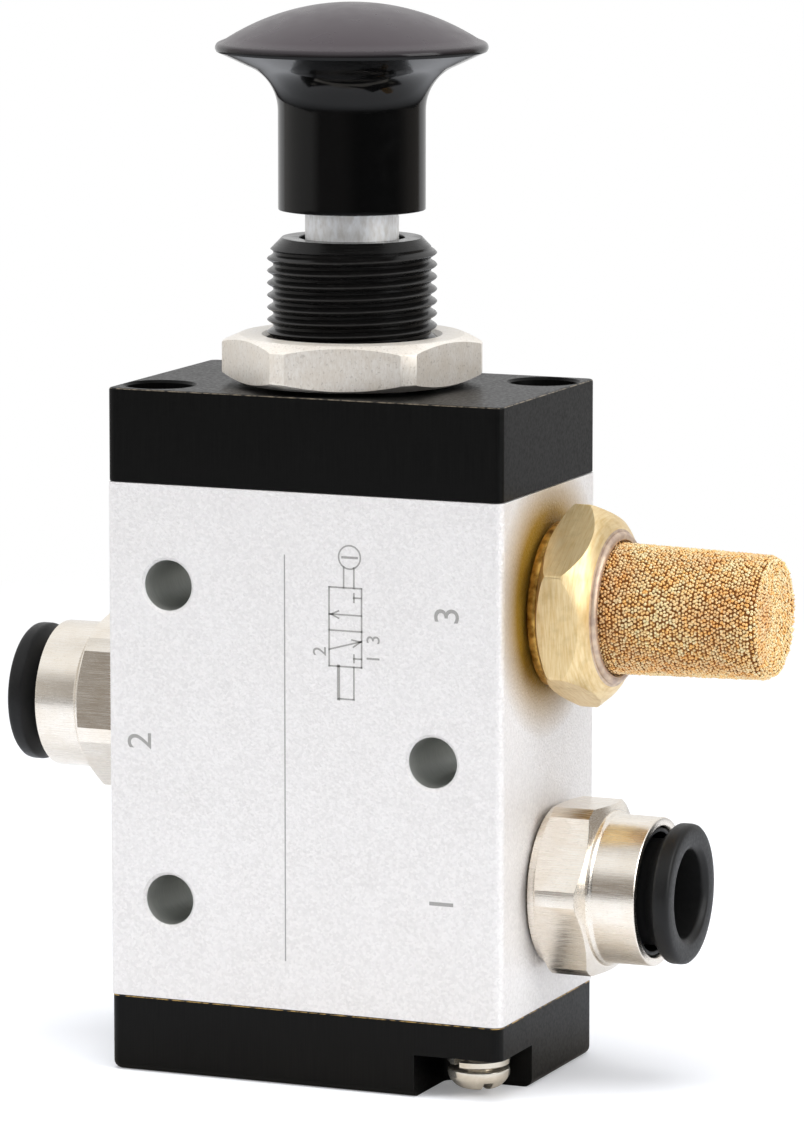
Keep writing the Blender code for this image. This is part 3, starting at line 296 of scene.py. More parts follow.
def hexagon(name, corner_radius, start, axis, first, length, turn):
    """A hexagonal bar along an axis, with its corners just eased, as a start for nuts."""
    deselect()
    bpy.ops.mesh.primitive_cylinder_add(vertices=6, radius=mm(corner_radius), depth=mm(length))
    piece = bpy.context.object
    piece.name = name
    aim = axis.to_track_quat("Z", "Y").to_matrix().to_4x4()
    middle = start + axis * mm(first + length / 2)
    piece.matrix_world = Matrix.Translation(middle) @ Matrix.Rotation(turn, 4, axis) @ aim
    settle(piece)
    ease_edges(piece, lambda one, other: abs((one - other).dot(axis)) > mm(length) / 2, 0.12, 2)
    return piece


# Finishes

def linear(colour):
    """Turn a hex colour, as it looks on a screen, to the renderer's linear values."""
    channels = [int(colour[index:index + 2], 16) / 255 for index in (1, 3, 5)]
    return tuple(c / 12.92 if c <= 0.04045 else ((c + 0.055) / 1.055) ** 2.4 for c in channels) + (1,)


def per_metre(size):
    """The texture scale that gives features of this many millimetres."""
    return 1000 / size


def add(tree, kind, settings=None, inputs=None):
    """Add a node, set its settings, and fill its inputs or link them to a socket or another node."""
    made = tree.nodes.new("ShaderNode" + kind)
    for name, value in (settings or {}).items():
        setattr(made, name, value)
    for name, value in (inputs or {}).items():
        if isinstance(value, bpy.types.Node):
            value = value.outputs[0]
        if isinstance(value, bpy.types.NodeSocket):
            tree.links.new(value, made.inputs[name])
        else:
            made.inputs[name].default_value = value
    return made


def worked(kind, operation, *values, result="Value"):
    """Work out a value with a Math or a VectorMath node, where the first value is a socket."""
    made = add(values[0].id_data, kind, {"operation": operation}, dict(enumerate(values)))
    return made.outputs[result]


def part_of(vector, name):
    """One part of a vector, X, Y or Z."""
    return add(vector.id_data, "SeparateXYZ", {}, {"Vector": vector}).outputs[name]


def cell_tones(coordinates, size):
    """A tone of its own, from 0 to 1, for each cell of this size in millimetres."""
    tree = coordinates.id_data
    cells = add(tree, "TexVoronoi", {}, {"Vector": coordinates, "Scale": per_metre(size)})
    return add(tree, "SeparateColor", {}, {"Color": cells.outputs["Color"]}).outputs["Red"]


def material(name, colour, metallic, roughness, specular=0.5):
    """A new finish: the material, its shader, and its Object coordinates."""
    made = bpy.data.materials.new(name)
    made.use_nodes = True
    shader = made.node_tree.nodes["Principled BSDF"]
    shader.inputs["Base Color"].default_value = linear(colour)
    shader.inputs["Metallic"].default_value = metallic
    shader.inputs["Roughness"].default_value = roughness
    shader.inputs["Specular IOR Level"].default_value = specular
    return made, shader, add(made.node_tree, "TexCoord").outputs["Object"]


def noise(coordinates, size, stretch=(1, 1, 1), detail=2):
    """Noise with features of one size in millimetres, drawn out along the axes by the stretch."""
    tree = coordinates.id_data
    scale = tuple(1 / amount for amount in stretch)
    laid = add(tree, "Mapping", {"vector_type": "POINT"}, {"Vector": coordinates, "Scale": scale})
    grain = add(tree, "TexNoise", {}, {"Vector": laid, "Scale": per_metre(size), "Detail": detail})
    return grain.outputs["Fac"]


def spread(value, low, high, out_low=0, out_high=1):
    """Map a value from one range to another, and hold it there."""
    ranged = add(value.id_data, "MapRange", {}, {
        "Value": value, "From Min": low, "From Max": high, "To Min": out_low, "To Max": out_high,
    })
    return ranged.outputs["Result"]


def mixed(share, first, second):
    """A colour between two, each a hex colour or a socket."""
    ends = [linear(end) if isinstance(end, str) else end for end in (first, second)]
    blend = add(share.id_data, "Mix", {"data_type": "RGBA"}, {0: share, 6: ends[0], 7: ends[1]})
    return blend.outputs[2]


def graded(value, low, high, first, second):
    """A colour that goes from one to another as a value crosses a range."""
    return mixed(spread(value, low, high), first, second)


def painted(shader, colour, roughness=None):
    """Link a shader's colour, and its roughness where that varies."""
    links = shader.id_data.links
    links.new(colour, shader.inputs["Base Color"])
    if roughness is not None:
        links.new(roughness, shader.inputs["Roughness"])


def raised(shader, height, depth, strength=1.0):
    """Give a surface a relief of this depth in millimetres."""
    tree = shader.id_data
    bump = add(tree, "Bump", {}, {"Height": height, "Distance": mm(depth), "Strength": strength})
    tree.links.new(bump.outputs["Normal"], shader.inputs["Normal"])


def sandblasted_anodised_aluminium():
    """Aluminium blasted with glass beads and clear anodised: silver-white, with a fine sparkle."""
    made, shader, coordinates = material("sandblasted_anodised_aluminium", "#E9E6E4", 0.35, 0.42)
    # Each dimple of the blasting tilts the light its own way, shown as a painted sparkle: a tone of its own
    # for each cell. Drawn at 0.25 mm, coarser than real, to show.
    tone = cell_tones(coordinates, 0.24)
    patches = noise(coordinates, 6)
    shade = mixed(spread(tone, 0, 1, 0, 0.4), "#F5F2F0", "#D3D0CE")
    shade = mixed(spread(patches, 0.35, 0.7, 0, 0.25), shade, "#F7F5F4")
    # The side face round the silencer is painted gold: a painted reflection of the silencer's brass, with
    # its painted shadow beside the flange.
    brass_reflection_centre = centre("silencer_body") + Vector((0, mm(-1.3), mm(0.7)))
    flange = 8.2
    beside = worked("VectorMath", "SUBTRACT", coordinates, brass_reflection_centre, result="Vector")
    flat = worked("VectorMath", "MULTIPLY", beside, (0, 1, 1), result="Vector")
    away = worked("VectorMath", "LENGTH", flat)
    side_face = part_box("valve_body")[1].x
    across = part_of(coordinates, "X")
    around = spread(away, mm(flange), mm(flange + 5.0), 1, 0)
    on_side = spread(across, side_face - mm(0.3), side_face - mm(0.1))
    shade = mixed(worked("Math", "MULTIPLY", around, on_side), shade, "#A8842F")
    painted(shader, shade, spread(tone, 0, 1, 0.36, 0.52))
    raised(shader, noise(coordinates, 0.25, detail=3), 0.12)
    return made


def drilled_aluminium():
    """The walls of the drilled holes, which the blasting misses: darker, with rings left by the drill."""
    made, shader, coordinates = material("drilled_aluminium", "#C4C6C0", 0.6, 0.35)
    rings = noise(coordinates, 0.15, stretch=(12, 1, 12), detail=3)
    shade = mixed(rings, "#B0B2AC", "#DEDFDA")
    painted(shader, shade, spread(rings, 0.3, 0.7, 0.28, 0.44))
    raised(shader, rings, 0.01, 0.6)
    return made


def black_anodised_aluminium():
    """Milled aluminium, brushed and anodised black: fine upright lines and a dull sheen."""
    made, shader, coordinates = material("black_anodised_aluminium", "#0B0B0B", 0, 0.34, 0.12)
    lines = noise(coordinates, 0.12, stretch=(1, 1, 40), detail=3)
    grain = noise(coordinates, 0.3, detail=4)
    shade = graded(lines, 0.3, 0.7, "#070707", "#0F0F0E")
    painted(shader, shade, spread(grain, 0.3, 0.7, 0.28, 0.44))
    raised(shader, worked("Math", "ADD", lines, grain), 0.004, 0.6)
    return made


def moulded_black_resin():
    """Phenolic knob, moulded and buffed: a satin dome and glossy flanks, a little worn."""
    made, shader, coordinates = material("moulded_black_resin", "#0B0B0B", 0, 0.2, 0.25)
    # The dome is duller than the flanks, which the hand doesn't rub, and painted a paler grey as a painted
    # sheen of the light above it.
    height = part_of(coordinates, "Z")
    dome_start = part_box("knob")[1].z - mm(4.3)
    dome_full = dome_start + mm(0.8)
    dulled = spread(height, dome_start, dome_full, 0.1, 0.3)
    handled = noise(coordinates, 1.6, detail=4)
    worn = spread(handled, 0.3, 0.7, -0.04, 0.05)
    shade = graded(height, dome_start, dome_full, "#090909", "#474144")
    painted(shader, shade, worked("Math", "ADD", dulled, worn))
    raised(shader, noise(coordinates, 0.35, detail=3), 0.004, 0.5)
    return made


def ground_steel():
    """Ground rod, handled: bright, with fine marks round the axis and soft scuffs."""
    made, shader, coordinates = material("ground_steel", "#F0EEEA", 0.2, 0.4)
    rings = noise(coordinates, 0.08, stretch=(30, 30, 1), detail=3)
    scuffs = noise(coordinates, 0.45, stretch=(1, 1, 2.5), detail=5)
    shade = graded(scuffs, 0.35, 0.65, "#E4E1DC", "#FFFFFF")
    painted(shader, shade, spread(scuffs, 0.3, 0.7, 0.36, 0.6))
    raised(shader, rings, 0.006, 0.6)
    return made


def black_oxide():
    """Turned metal, blackened after its thread was cut: glossy, with faint rings."""
    made, shader, coordinates = material("black_oxide", "#0D0D0D", 0.2, 0.18, 0.25)
    rings = noise(coordinates, 0.1, stretch=(25, 25, 1), detail=2)
    shade = mixed(rings, "#0A0A0A", "#1B1A19")
    # The crests of the thread are paler: a painted highlight along each crest, and a little rubbing.
    flat = worked("VectorMath", "MULTIPLY", coordinates, (1, 1, 0), result="Vector")
    radius = worked("VectorMath", "LENGTH", flat)
    shade = graded(radius, mm(THREAD_CREST - 0.14), mm(THREAD_CREST - 0.02), shade, "#2B2A29")
    painted(shader, shade, spread(rings, 0.3, 0.7, 0.13, 0.3))
    raised(shader, rings, 0.004, 0.5)
    return made


def nickel_plate(name, size, stretch, metallic, smooth, rough, pitted):
    """Brass bar drawn, turned and plated with nickel: warm white, with the drawn lines of its bar."""
    made, shader, coordinates = material(name, "#E4DACB", metallic, 0.2)
    lines = noise(coordinates, size, stretch=stretch, detail=3)
    clouds = noise(coordinates, 2.2, detail=3)
    pits = noise(coordinates, 0.28, detail=2)
    shade = graded(lines, 0.25, 0.75, "#ECE3D6", "#FFFAF2")
    shade = mixed(spread(clouds, 0.4, 0.7, 0, 0.35), shade, "#E6D9C6")
    shade = mixed(spread(pits, 0.6, 0.68, 0, pitted), shade, "#A39787")
    painted(shader, shade, spread(lines, 0.3, 0.7, smooth, rough))
    raised(shader, lines, 0.004, 0.7)
    return made


def turned_brass():
    """Brass turned from hexagonal bar, and left bare: soft gold with faint tool marks and spots."""
    made, shader, coordinates = material("turned_brass", "#E8CB94", 0.8, 0.4)
    marks = noise(coordinates, 0.15, stretch=(1, 12, 12), detail=3)
    spots = noise(coordinates, 1.2, detail=5)
    shade = graded(marks, 0.3, 0.7, "#E6C78C", "#F8E2B4")
    shade = mixed(spread(spots, 0.5, 0.8, 0, 0.4), shade, "#B79A5C")
    painted(shader, shade, spread(spots, 0.3, 0.7, 0.34, 0.46))
    raised(shader, spots, 0.02, 0.3)
    return made


def shaded_flange_brass():
    """The flange of the silencer, against the body, painted dark gold as painted shade where the body
    shadows it.
    """
    made, shader, coordinates = material("shaded_flange_brass", "#A87C34", 0.85, 0.3)
    shade_noise = noise(coordinates, 0.8, detail=4)
    painted(shader, graded(shade_noise, 0.35, 0.65, "#7A5418", "#D9AE5C"))
    raised(shader, shade_noise, 0.02, 0.4)
    return made


def tarnished_brass():
    """The crimped rim of the silencer, stained by the furnace: a dull pinkish grey."""
    made, shader, coordinates = material("tarnished_brass", "#C4AFA0", 0.7, 0.45)
    stains = noise(coordinates, 0.9, detail=4)
    painted(shader, graded(stains, 0.35, 0.65, "#BDA595", "#DCC6AE"))
    raised(shader, stains, 0.02, 0.4)
    return made


def sintered_bronze():
    """Bronze powder sintered to a porous cup: round grains of orange gold with dark pores between."""
    made, shader, coordinates = material("sintered_bronze", "#FFD594", 0.45, 0.3)
    tone = cell_tones(coordinates, 0.45)
    heat = noise(coordinates, 5, detail=2)
    shade = mixed(tone, "#FFCB7C", "#FFF2C4")
    shade = mixed(spread(heat, 0.45, 0.7, 0, 0.4), shade, "#E0934A")
    painted(shader, shade, spread(tone, 0, 1, 0.2, 0.4))
    return made


def pore_shadow():
    """The sintered bronze deep between the grains: brown and dull."""
    made, shader, coordinates = material("pore_shadow", "#7A4A1E", 0.6, 0.7)
    depth = noise(coordinates, 0.3, detail=2)
    painted(shader, mixed(depth, "#7A4A1C", "#AC7640"))
    return made


def moulded_black_nylon():
    """Release collar moulded in glass-filled nylon: charcoal, satin, with a fine even texture."""
    made, shader, coordinates = material("moulded_black_nylon", "#181818", 0, 0.4, 0.25)
    grain = noise(coordinates, 0.25, detail=4)
    shade = mixed(grain, "#121212", "#1F1F1F")
    painted(shader, shade, spread(grain, 0.3, 0.7, 0.34, 0.5))
    raised(shader, grain, 0.01, 0.5)
    return made


def zinc_plated_steel():
    """Screws and washers in zinc-plated steel: pale cream silver, a little cloudy."""
    made, shader, coordinates = material("zinc_plated_steel", "#D8D2C6", 0.85, 0.22)
    clouds = noise(coordinates, 0.6, detail=4)
    shade = mixed(clouds, "#CFC8BA", "#F6F0E4")
    painted(shader, shade, spread(clouds, 0.3, 0.7, 0.14, 0.26))
    raised(shader, clouds, 0.003, 0.3)
    return made


def seal_rubber():
    """Nitrile rubber O-rings, moulded: black and matt, with a faint bloom."""
    made, shader, coordinates = material("seal_rubber", "#161616", 0, 0.6)
    bloom = noise(coordinates, 0.8, detail=3)
    shade = mixed(bloom, "#101010", "#212121")
    painted(shader, shade, spread(bloom, 0.3, 0.7, 0.5, 0.7))
    return made


def edge_wear_and_highlight(name, metal):
    """An edge in small pale patches, a painted highlight drawn as anodising rubbed through to bare metal.
    """
    made, shader, coordinates = material(name, metal, 0.4, 0.4)
    wear_and_highlight_patches = noise(coordinates, 0.7, detail=4)
    painted(shader, graded(wear_and_highlight_patches, 0.4, 0.58, "#1A1816", metal))
    return made


def laser_mark():
    """Marks burnt into the anodising with a laser: flat warm grey, a little uneven."""
    made, shader, coordinates = material("laser_mark", "#A5A3A0", 0.2, 0.6)
    burn = noise(coordinates, 0.12, detail=2)
    painted(shader, mixed(burn, "#95938F", "#B5B3AF"))
    return made


aluminium = sandblasted_anodised_aluminium()
drilled = drilled_aluminium()
black_aluminium = black_anodised_aluminium()
black_resin = moulded_black_resin()
bright_steel = ground_steel()
oxide = black_oxide()
fitting_nickel = nickel_plate("nickel_plate_drawn_lengthways", 0.07, (40, 1, 1), 1.0, 0.18, 0.32, 0.1)
nut_nickel = nickel_plate("nickel_plate_tumbled", 0.16, (1, 1, 3), 0.55, 0.3, 0.46, 0.3)
nut_chamfer = nickel_plate("nickel_plate_faced", 0.16, (1, 1, 1), 0.15, 0.3, 0.4, 0.25)
brass = turned_brass()
flange_shade = shaded_flange_brass()
tarnish = tarnished_brass()
bronze = sintered_bronze()
pores = pore_shadow()
nylon = moulded_black_nylon()
zinc = zinc_plated_steel()
rubber = seal_rubber()
# A painted highlight along the top cover's upper edge, drawn as patchy wear.
top_edge_highlight_and_wear = edge_wear_and_highlight("edge_wear_and_highlight", "#7D7262")
# A painted golden glint along the bottom cover's joint with the body, drawn as patchy wear.
joint_glint_and_wear = edge_wear_and_highlight("golden_joint_glint_and_wear", "#CDAA66")
mark_grey = laser_mark()


# The knob, a mushroom with a hollow flare under its rim

def build_knob():
    start, height, rim = upright_place("knob")
    stem = 6.93
    dome = 22
    flare = 4.5
    rim_ease = 0.55
    dome_angle = math.degrees(math.asin((rim - rim_ease) / dome))
    dome_centre = height - dome
    rim_along = dome_centre + dome * math.cos(math.radians(dome_angle)) - rim_ease * 0.9
    flare_start = 9.3
    slope = 20
    corners = [(0, 0), (0, stem - 0.5), (0, stem, 0.12), (0.6, stem), (flare_start, stem)]
    corners += arc(flare_start, stem + flare, flare, 270, 360 - slope, 12)[1:]
    corners += [(rim_along - rim_ease * 0.6, rim - 0.12)]
    corners += arc(rim_along, rim - rim_ease, rim_ease, 90 + 10, 22, 6)
    corners += arc(dome_centre, 0, dome, dome_angle - 1.2, 0, 24)
    piece = turned("push_knob", corners, start, Z_AXIS, FINE_TURN)
    dress(piece, "knob", black_resin)


# The rod between the bushing and the knob

def build_rod():
    start, length, _ = upright_place("rod")
    radius = 4.4
    corners = [(0, 0), (0, 3.0, 0.2), (1.8, 3.0), (1.8, 1.7), (3.4, 1.7), (3.4, radius, 0.3)]
    corners += [(length - 7.6, radius, 0.2), (length - 7.3, 3.0), (length, 3.0, 0.3), (length, 0)]
    piece = turned("plunger_rod", corners, start, Z_AXIS, FINE_TURN)
    dress(piece, "rod", bright_steel)


# The black bushing with its panel thread

def build_bushing():
    start, length, flange = upright_place("threaded_bushing")
    crest = THREAD_CREST
    root = 7.42
    bore = 4.55
    mouth = 4.95
    relief = length - 13.2
    core = [(0, bore), (0, flange, 0.3), (5.5, flange, 0.3), (5.5, crest - 0.05), (relief, crest - 0.05)]
    core += [(relief + 0.15, root, 0.1), (length, root)]
    core += [(length, mouth, 0.15), (length - 3, mouth), (length - 3, bore), (0, bore)]
    piece = turned("panel_bushing", core, start, Z_AXIS, FINE_TURN)
    turns = int((length - relief - 0.2) / THREAD_PITCH) + 2
    tooth = [(6.6, -0.54), (root - 0.1, -0.54), (7.6, -0.3), (7.9, -0.12), (crest, 0)]
    tooth += [(7.9, 0.12), (7.6, 0.3), (root - 0.1, 0.54), (6.6, 0.54)]
    foot = start + Z_AXIS * mm(relief + 0.2)
    thread = wound("thread", tooth, foot, THREAD_PITCH, turns, math.tau, 64)
    envelope = [(relief + 0.3, 6.5), (relief + 0.3, 7.5), (relief + 0.9, crest + 0.1)]
    envelope += [(length - 1.5, crest + 0.1), (length, 6.55), (length, 6.4), (relief + 0.3, 6.4)]
    combine_round(thread, envelope, start, Z_AXIS, "INTERSECT")
    combine(piece, thread, "UNION")
    chamfer = [(length - 1.5, 8.3), (length - 1.5, 8.05), (length, 6.6), (length + 0.3, 6.6)]
    chamfer += [(length + 0.3, 8.3), (length - 1.5, 8.3)]
    combine_round(piece, chamfer, start, Z_AXIS)
    dress(piece, "threaded_bushing", oxide)


# The panel nut, a hexagon turned round at its corners

def build_nut():
    start, height, _ = upright_place("panel_nut")
    across = 22
    corner = across / math.sqrt(3)
    limit = 12.25
    face = 10.55
    mouth = 8.5
    threaded = 8.1
    turn = math.radians(-11.7)
    nut = hexagon("hexagon_panel_nut", corner, start, Z_AXIS, 0, height, turn)
    outline = [(0, 0), (0, face), (0.75, limit, 0.12), (height - 0.75, limit, 0.12), (height, face, 0.1)]
    outline += [(height, 0)]
    combine_round(nut, outline, start, Z_AXIS, "INTERSECT")
    bore = [(-1, 0), (-1, mouth), (0, mouth), (0.4, threaded), (height - 0.4, threaded), (height, mouth)]
    bore += [(height + 1, mouth), (height + 1, 0)]
    combine_round(nut, bore, start, Z_AXIS)
    dress(nut, "panel_nut", nut_nickel, sharp=math.radians(18))
    finish_faces(nut, nut_chamfer, lambda face: face.normal.z > 0.3)


# The aluminium body with its mounting holes and port sockets. Body and covers meet in fine joints, so
# each reaches this far into the gap that the CAD leaves between them.
JOINT_CLOSE = 0.12
MOUNT_HOLES = ((-13.7, 16.8), (-13.7, 46.8), (13.1, 31.8))
MOUNT_RADIUS = 2.4


def drill(piece, start, axis, radius, depth, chamfer):
    """Cut a round hole with a chamfered mouth, sunk along the axis from a face."""
    corners = [(-1, 0), (-1, radius + chamfer), (0, radius + chamfer), (chamfer, radius), (depth, radius)]
    corners += [(depth, 0)]
    combine(piece, turned("hole", corners, start, axis))


def build_body():
    low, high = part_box("valve_body")
    close = Vector((0, 0, mm(JOINT_CLOSE)))
    piece = block("body_block", low - close, high + close)
    ease_edges(piece, upright, 1.0, 6)
    ease_edges(piece, lambda one, other: abs(one.z - other.z) < mm(0.1), 0.09, 2)
    depth = (high.y - low.y) * 1000
    for across, height in MOUNT_HOLES:
        near = Vector((mm(across), low.y, mm(height)))
        far = Vector((mm(across), high.y, mm(height)))
        drill(piece, near, Y_AXIS, MOUNT_RADIUS, depth + 1, 0.28)
        drill(piece, far, -Y_AXIS, MOUNT_RADIUS, 2, 0.28)
    socket, drilling, spool_bore = 6.6, 2.6, 6.2
    for node, axis, face in (
        ("fitting_p_body", -X_AXIS, high.x),
        ("silencer_body", -X_AXIS, high.x),
        ("fitting_a_body", X_AXIS, low.x),
    ):
        middle = centre(node)
        mouth = Vector((face, middle.y, middle.z))
        drill(piece, mouth, axis, socket, 10.5, 0.5)
        drill(piece, mouth, axis, drilling, 16.5, 0.1)
    base = Vector((0, 0, low.z))
    drill(piece, base, Z_AXIS, spool_bore, 50, 0.3)
    dress(piece, "valve_body", aluminium, flat=True)

    def in_hole(face):
        place = face.center
        return abs(face.normal.y) < 0.5 and any(
            math.hypot(place.x - mm(across), place.z - mm(height)) < mm(MOUNT_RADIUS + 0.05)
            for across, height in MOUNT_HOLES
        )

    finish_faces(piece, drilled, in_hole)


# The black end covers

def build_top_cover():
    low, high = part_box("top_cover")
    piece = block("top_end_cover", low - Vector((0, 0, mm(JOINT_CLOSE))), high)
    ease_edges(piece, upright, 0.8, 6)
    ease_edges(piece, lambda one, other: one.z + other.z < low.z * 2, 0.09, 2)
    ease_edges(piece, lambda one, other: one.z + other.z > high.z * 2 - mm(0.1), 0.22, 3)
    counterbore, bushing_hole, flange_seat = 3.25, 8.15, 10.2
    for side in (-1, 1):
        mouth = Vector((mm(SCREW_ACROSS) * side, mm(SCREW_DEEP) * side, high.z))
        drill(piece, mouth, -Z_AXIS, counterbore, 5, 0.25)
        drill(piece, mouth, -Z_AXIS, SCREW_HOLE, 12, 0.1)
    drill(piece, Vector((0, 0, high.z)), -Z_AXIS, bushing_hole, 12, 0.3)
    drill(piece, Vector((0, 0, low.z)), Z_AXIS, flange_seat, 5.8, 0.2)
    dress(piece, "top_cover", black_aluminium, flat=True)
    rim = high - Vector((mm(0.3), mm(0.3), mm(0.3)))

    def outer_edge(face):
        outside = abs(face.center.x) > rim.x or abs(face.center.y) > rim.y
        return outside and face.center.z > rim.z and 0.5 < face.normal.z < 0.85

    # The upper outer edge takes a painted highlight, drawn as patchy wear.
    finish_faces(piece, top_edge_highlight_and_wear, outer_edge)


def build_bottom_cover():
    low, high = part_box("bottom_cover")
    piece = block("bottom_end_cover", low, high + Vector((0, 0, mm(JOINT_CLOSE))))
    ease_edges(piece, upright, 1.0, 6)
    ease_edges(piece, lambda one, other: one.z + other.z < mm(0.2), 0.8, 5)
    ease_edges(piece, lambda one, other: one.z + other.z > high.z * 2, 0.09, 2)
    notch = Vector((mm(8.6), mm(8.1), mm(4.05)))
    beyond = mm(2)
    for side in (1, -1):
        outer = Vector((high.x * side, -high.y * side, 0))
        inner = outer - Vector((notch.x * side, -notch.y * side, 0))
        start = Vector((min(outer.x, inner.x) - mm(0.01), min(outer.y, inner.y), -mm(1)))
        end = Vector((max(outer.x, inner.x), max(outer.y, inner.y), notch.z))
        if side > 0:
            end.x += beyond
            start.y -= beyond
        else:
            start.x -= beyond
            end.y += beyond
        cutter = block("notch", start, end)

        def inner_corner(one, other, inner=inner):
            same = abs(one.x - inner.x) < mm(0.1) and abs(one.y - inner.y) < mm(0.1)
            return same and upright(one, other)

        ease_edges(cutter, inner_corner, 1.0, 6)
        combine(piece, cutter)
        screw = Vector((mm(SCREW_ACROSS) * side, -mm(SCREW_DEEP) * side, 0))
        drill(piece, screw, Z_AXIS, SCREW_HOLE, 12, 0.1)
    dress(piece, "bottom_cover", black_aluminium, flat=True)
    rim = high.z - mm(0.1)
    # The top edge, at the joint with the body, takes a painted golden glint, drawn as patchy wear.
    finish_faces(piece, joint_glint_and_wear, lambda face: face.center.z > rim and 0.2 < face.normal.z < 0.95)


# Slotted pan-head screws and split washers

def build_screw(node, name, turn):
    """A slotted screw whose head faces away from the body along the vertical axis."""
    low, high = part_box(node)
    middle = (low + high) / 2
    down = "bottom" in node
    axis = -Z_AXIS if down else Z_AXIS
    head_end = low.z if down else high.z
    start = Vector((middle.x, middle.y, head_end))
    length = (high.z - low.z) * 1000
    radius = (high.x - low.x) * 500
    head = 2.0
    shank = 1.5
    corners = [(-length, 0), (-length, shank - 0.2, 0.2), (-length + 0.4, shank), (-head, shank)]
    corners += [(-head, radius, 0.12), (-head + 0.8, radius, 0.3), (-0.25, radius * 0.72, 0.5)]
    corners += [(0, radius * 0.3), (0, 0)]
    piece = turned(name, corners, start, axis, SMALL_TURN)
    half_slot = Vector((mm(4), mm(0.45), mm(0.95)))
    slot = block("slot", -half_slot, half_slot)
    slot.matrix_world = Matrix.Translation(start) @ Matrix.Rotation(turn, 4, "Z")
    settle(slot)
    combine(piece, slot)
    dress(piece, node, zinc)


def build_spring_washer(side, gap_turn):
    """A split washer, wound a little so that its two ends stand apart."""
    node = f"spring_washer_{side}"
    low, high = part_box(node)
    middle = (low + high) / 2
    outer = (high.x - low.x) * 500
    height = (high.z - low.z) * 1000
    rise = 0.22
    inner = 1.7
    thick = height - rise
    section = [(inner, 0), (outer - 0.1, 0), (outer, 0.1)]
    section += [(outer, thick - 0.1), (outer - 0.1, thick), (inner, thick)]
    ring = math.radians(346)
    washer = wound(f"split_washer_{side}", section, Vector((0, 0, 0)), rise, 1, ring, 40)
    place = Matrix.Translation((middle.x, middle.y, low.z))
    washer.matrix_world = place @ Matrix.Rotation(gap_turn, 4, "Z")
    settle(washer)
    dress(washer, node, zinc)


# Push-in fittings

def build_fitting(letter, side, turn):
    """A nickel-plated fitting that points to one side, with its collar and its inner rings."""
    axis = X_AXIS * side
    node = f"fitting_{letter}_body"
    origin, first, last = sideways_place(node, axis)
    hex_start = last - 10.4
    hex_end = hex_start + 5.7
    bar_start = hex_start + 0.66
    corner, corner_limit = 9.1, 8.7
    barrel = 7.0
    thread, bore, wide_bore, mouth = 6.3, 3.0, 4.15, 6.1
    step = first + 4.7
    mouth_end = last - 8.55
    name = f"push_in_fitting_{letter}"
    bar = hexagon(name, corner, origin, axis, bar_start, hex_end - bar_start, turn)
    cone = [(bar_start, 0), (bar_start, 7.6), (hex_start + 1.2, corner_limit)]
    cone += [(hex_end - 0.62, corner_limit), (hex_end, 7.42, 0.06), (hex_end, 0)]
    combine_round(bar, cone, origin, axis, "INTERSECT")
    core = [(first, bore), (first, 6.05, 0.1), (first + 0.4, thread), (hex_start - 0.02, thread)]
    core += [(hex_start - 0.02, 7.55, 0.12), (hex_start + 0.67, 7.55, 0.06), (hex_start + 0.8, 6.9)]
    core += [(hex_end - 0.3, 6.9), (hex_end - 0.3, 7.36), (hex_end + 0.22, 7.3, 0.08)]
    core += [(hex_end + 0.5, barrel + 0.02, 0.1), (last, barrel, 0.22)]
    core += [(last, 6.25, 0.12), (last - 0.5, mouth)]
    core += [(mouth_end, mouth), (mouth_end, wide_bore), (step, wide_bore), (step, bore), (first, bore)]
    combine_round(bar, core, origin, axis, "UNION")
    bored = [(first - 1, 0), (first - 1, bore), (step, bore), (step, wide_bore)]
    bored += [(mouth_end, wide_bore), (mouth_end, mouth), (last + 1, mouth), (last + 1, 0)]
    combine_round(bar, bored, origin, axis)
    dress(bar, node, fitting_nickel, sharp=math.radians(24))
    build_collar(letter, axis, origin)
    build_guide(letter, axis, origin)


def build_collar(letter, axis, origin):
    """The black release collar, whose wide lip is pressed in to free the tube."""
    node = f"fitting_{letter}_release_collar"
    first, last = reach(node, axis)
    lip = last - 1.7
    bore, sleeve, rim = 4.15, 5.0, 6.6
    corners = [(first + 1, bore), (first, bore), (first, 5.45), (first + 0.5, 5.45), (first + 1.6, sleeve)]
    corners += [(lip - 1.2, sleeve, 0.3), (lip - 0.35, 5.9), (lip, 6.35, 0.2), (lip + 0.25, rim, 0.2)]
    corners += [(last - 0.1, rim, 0.45), (last, 5.7, 0.3), (last - 0.05, 4.65, 0.2)]
    corners += [(last - 0.5, bore, 0.2), (first + 1, bore)]
    piece = turned(f"release_collar_{letter}", corners, origin, axis, FINE_TURN)
    dress(piece, node, nylon)


def build_guide(letter, axis, origin):
    """The dark ring that guides the collar, deep in the mouth of the fitting."""
    node = f"fitting_{letter}_guide_ring"
    first, last = reach(node, axis)
    inner, outer = 5.6, 6.02
    corners = [(first + 0.4, inner), (first, inner, 0.1), (first, outer, 0.1)]
    corners += [(last, outer, 0.15), (last, inner, 0.2), (first + 0.4, inner)]
    piece = turned(f"guide_ring_{letter}", corners, origin, axis)
    dress(piece, node, nylon)


# The silencer, a brass hexagon with a sintered bronze cup

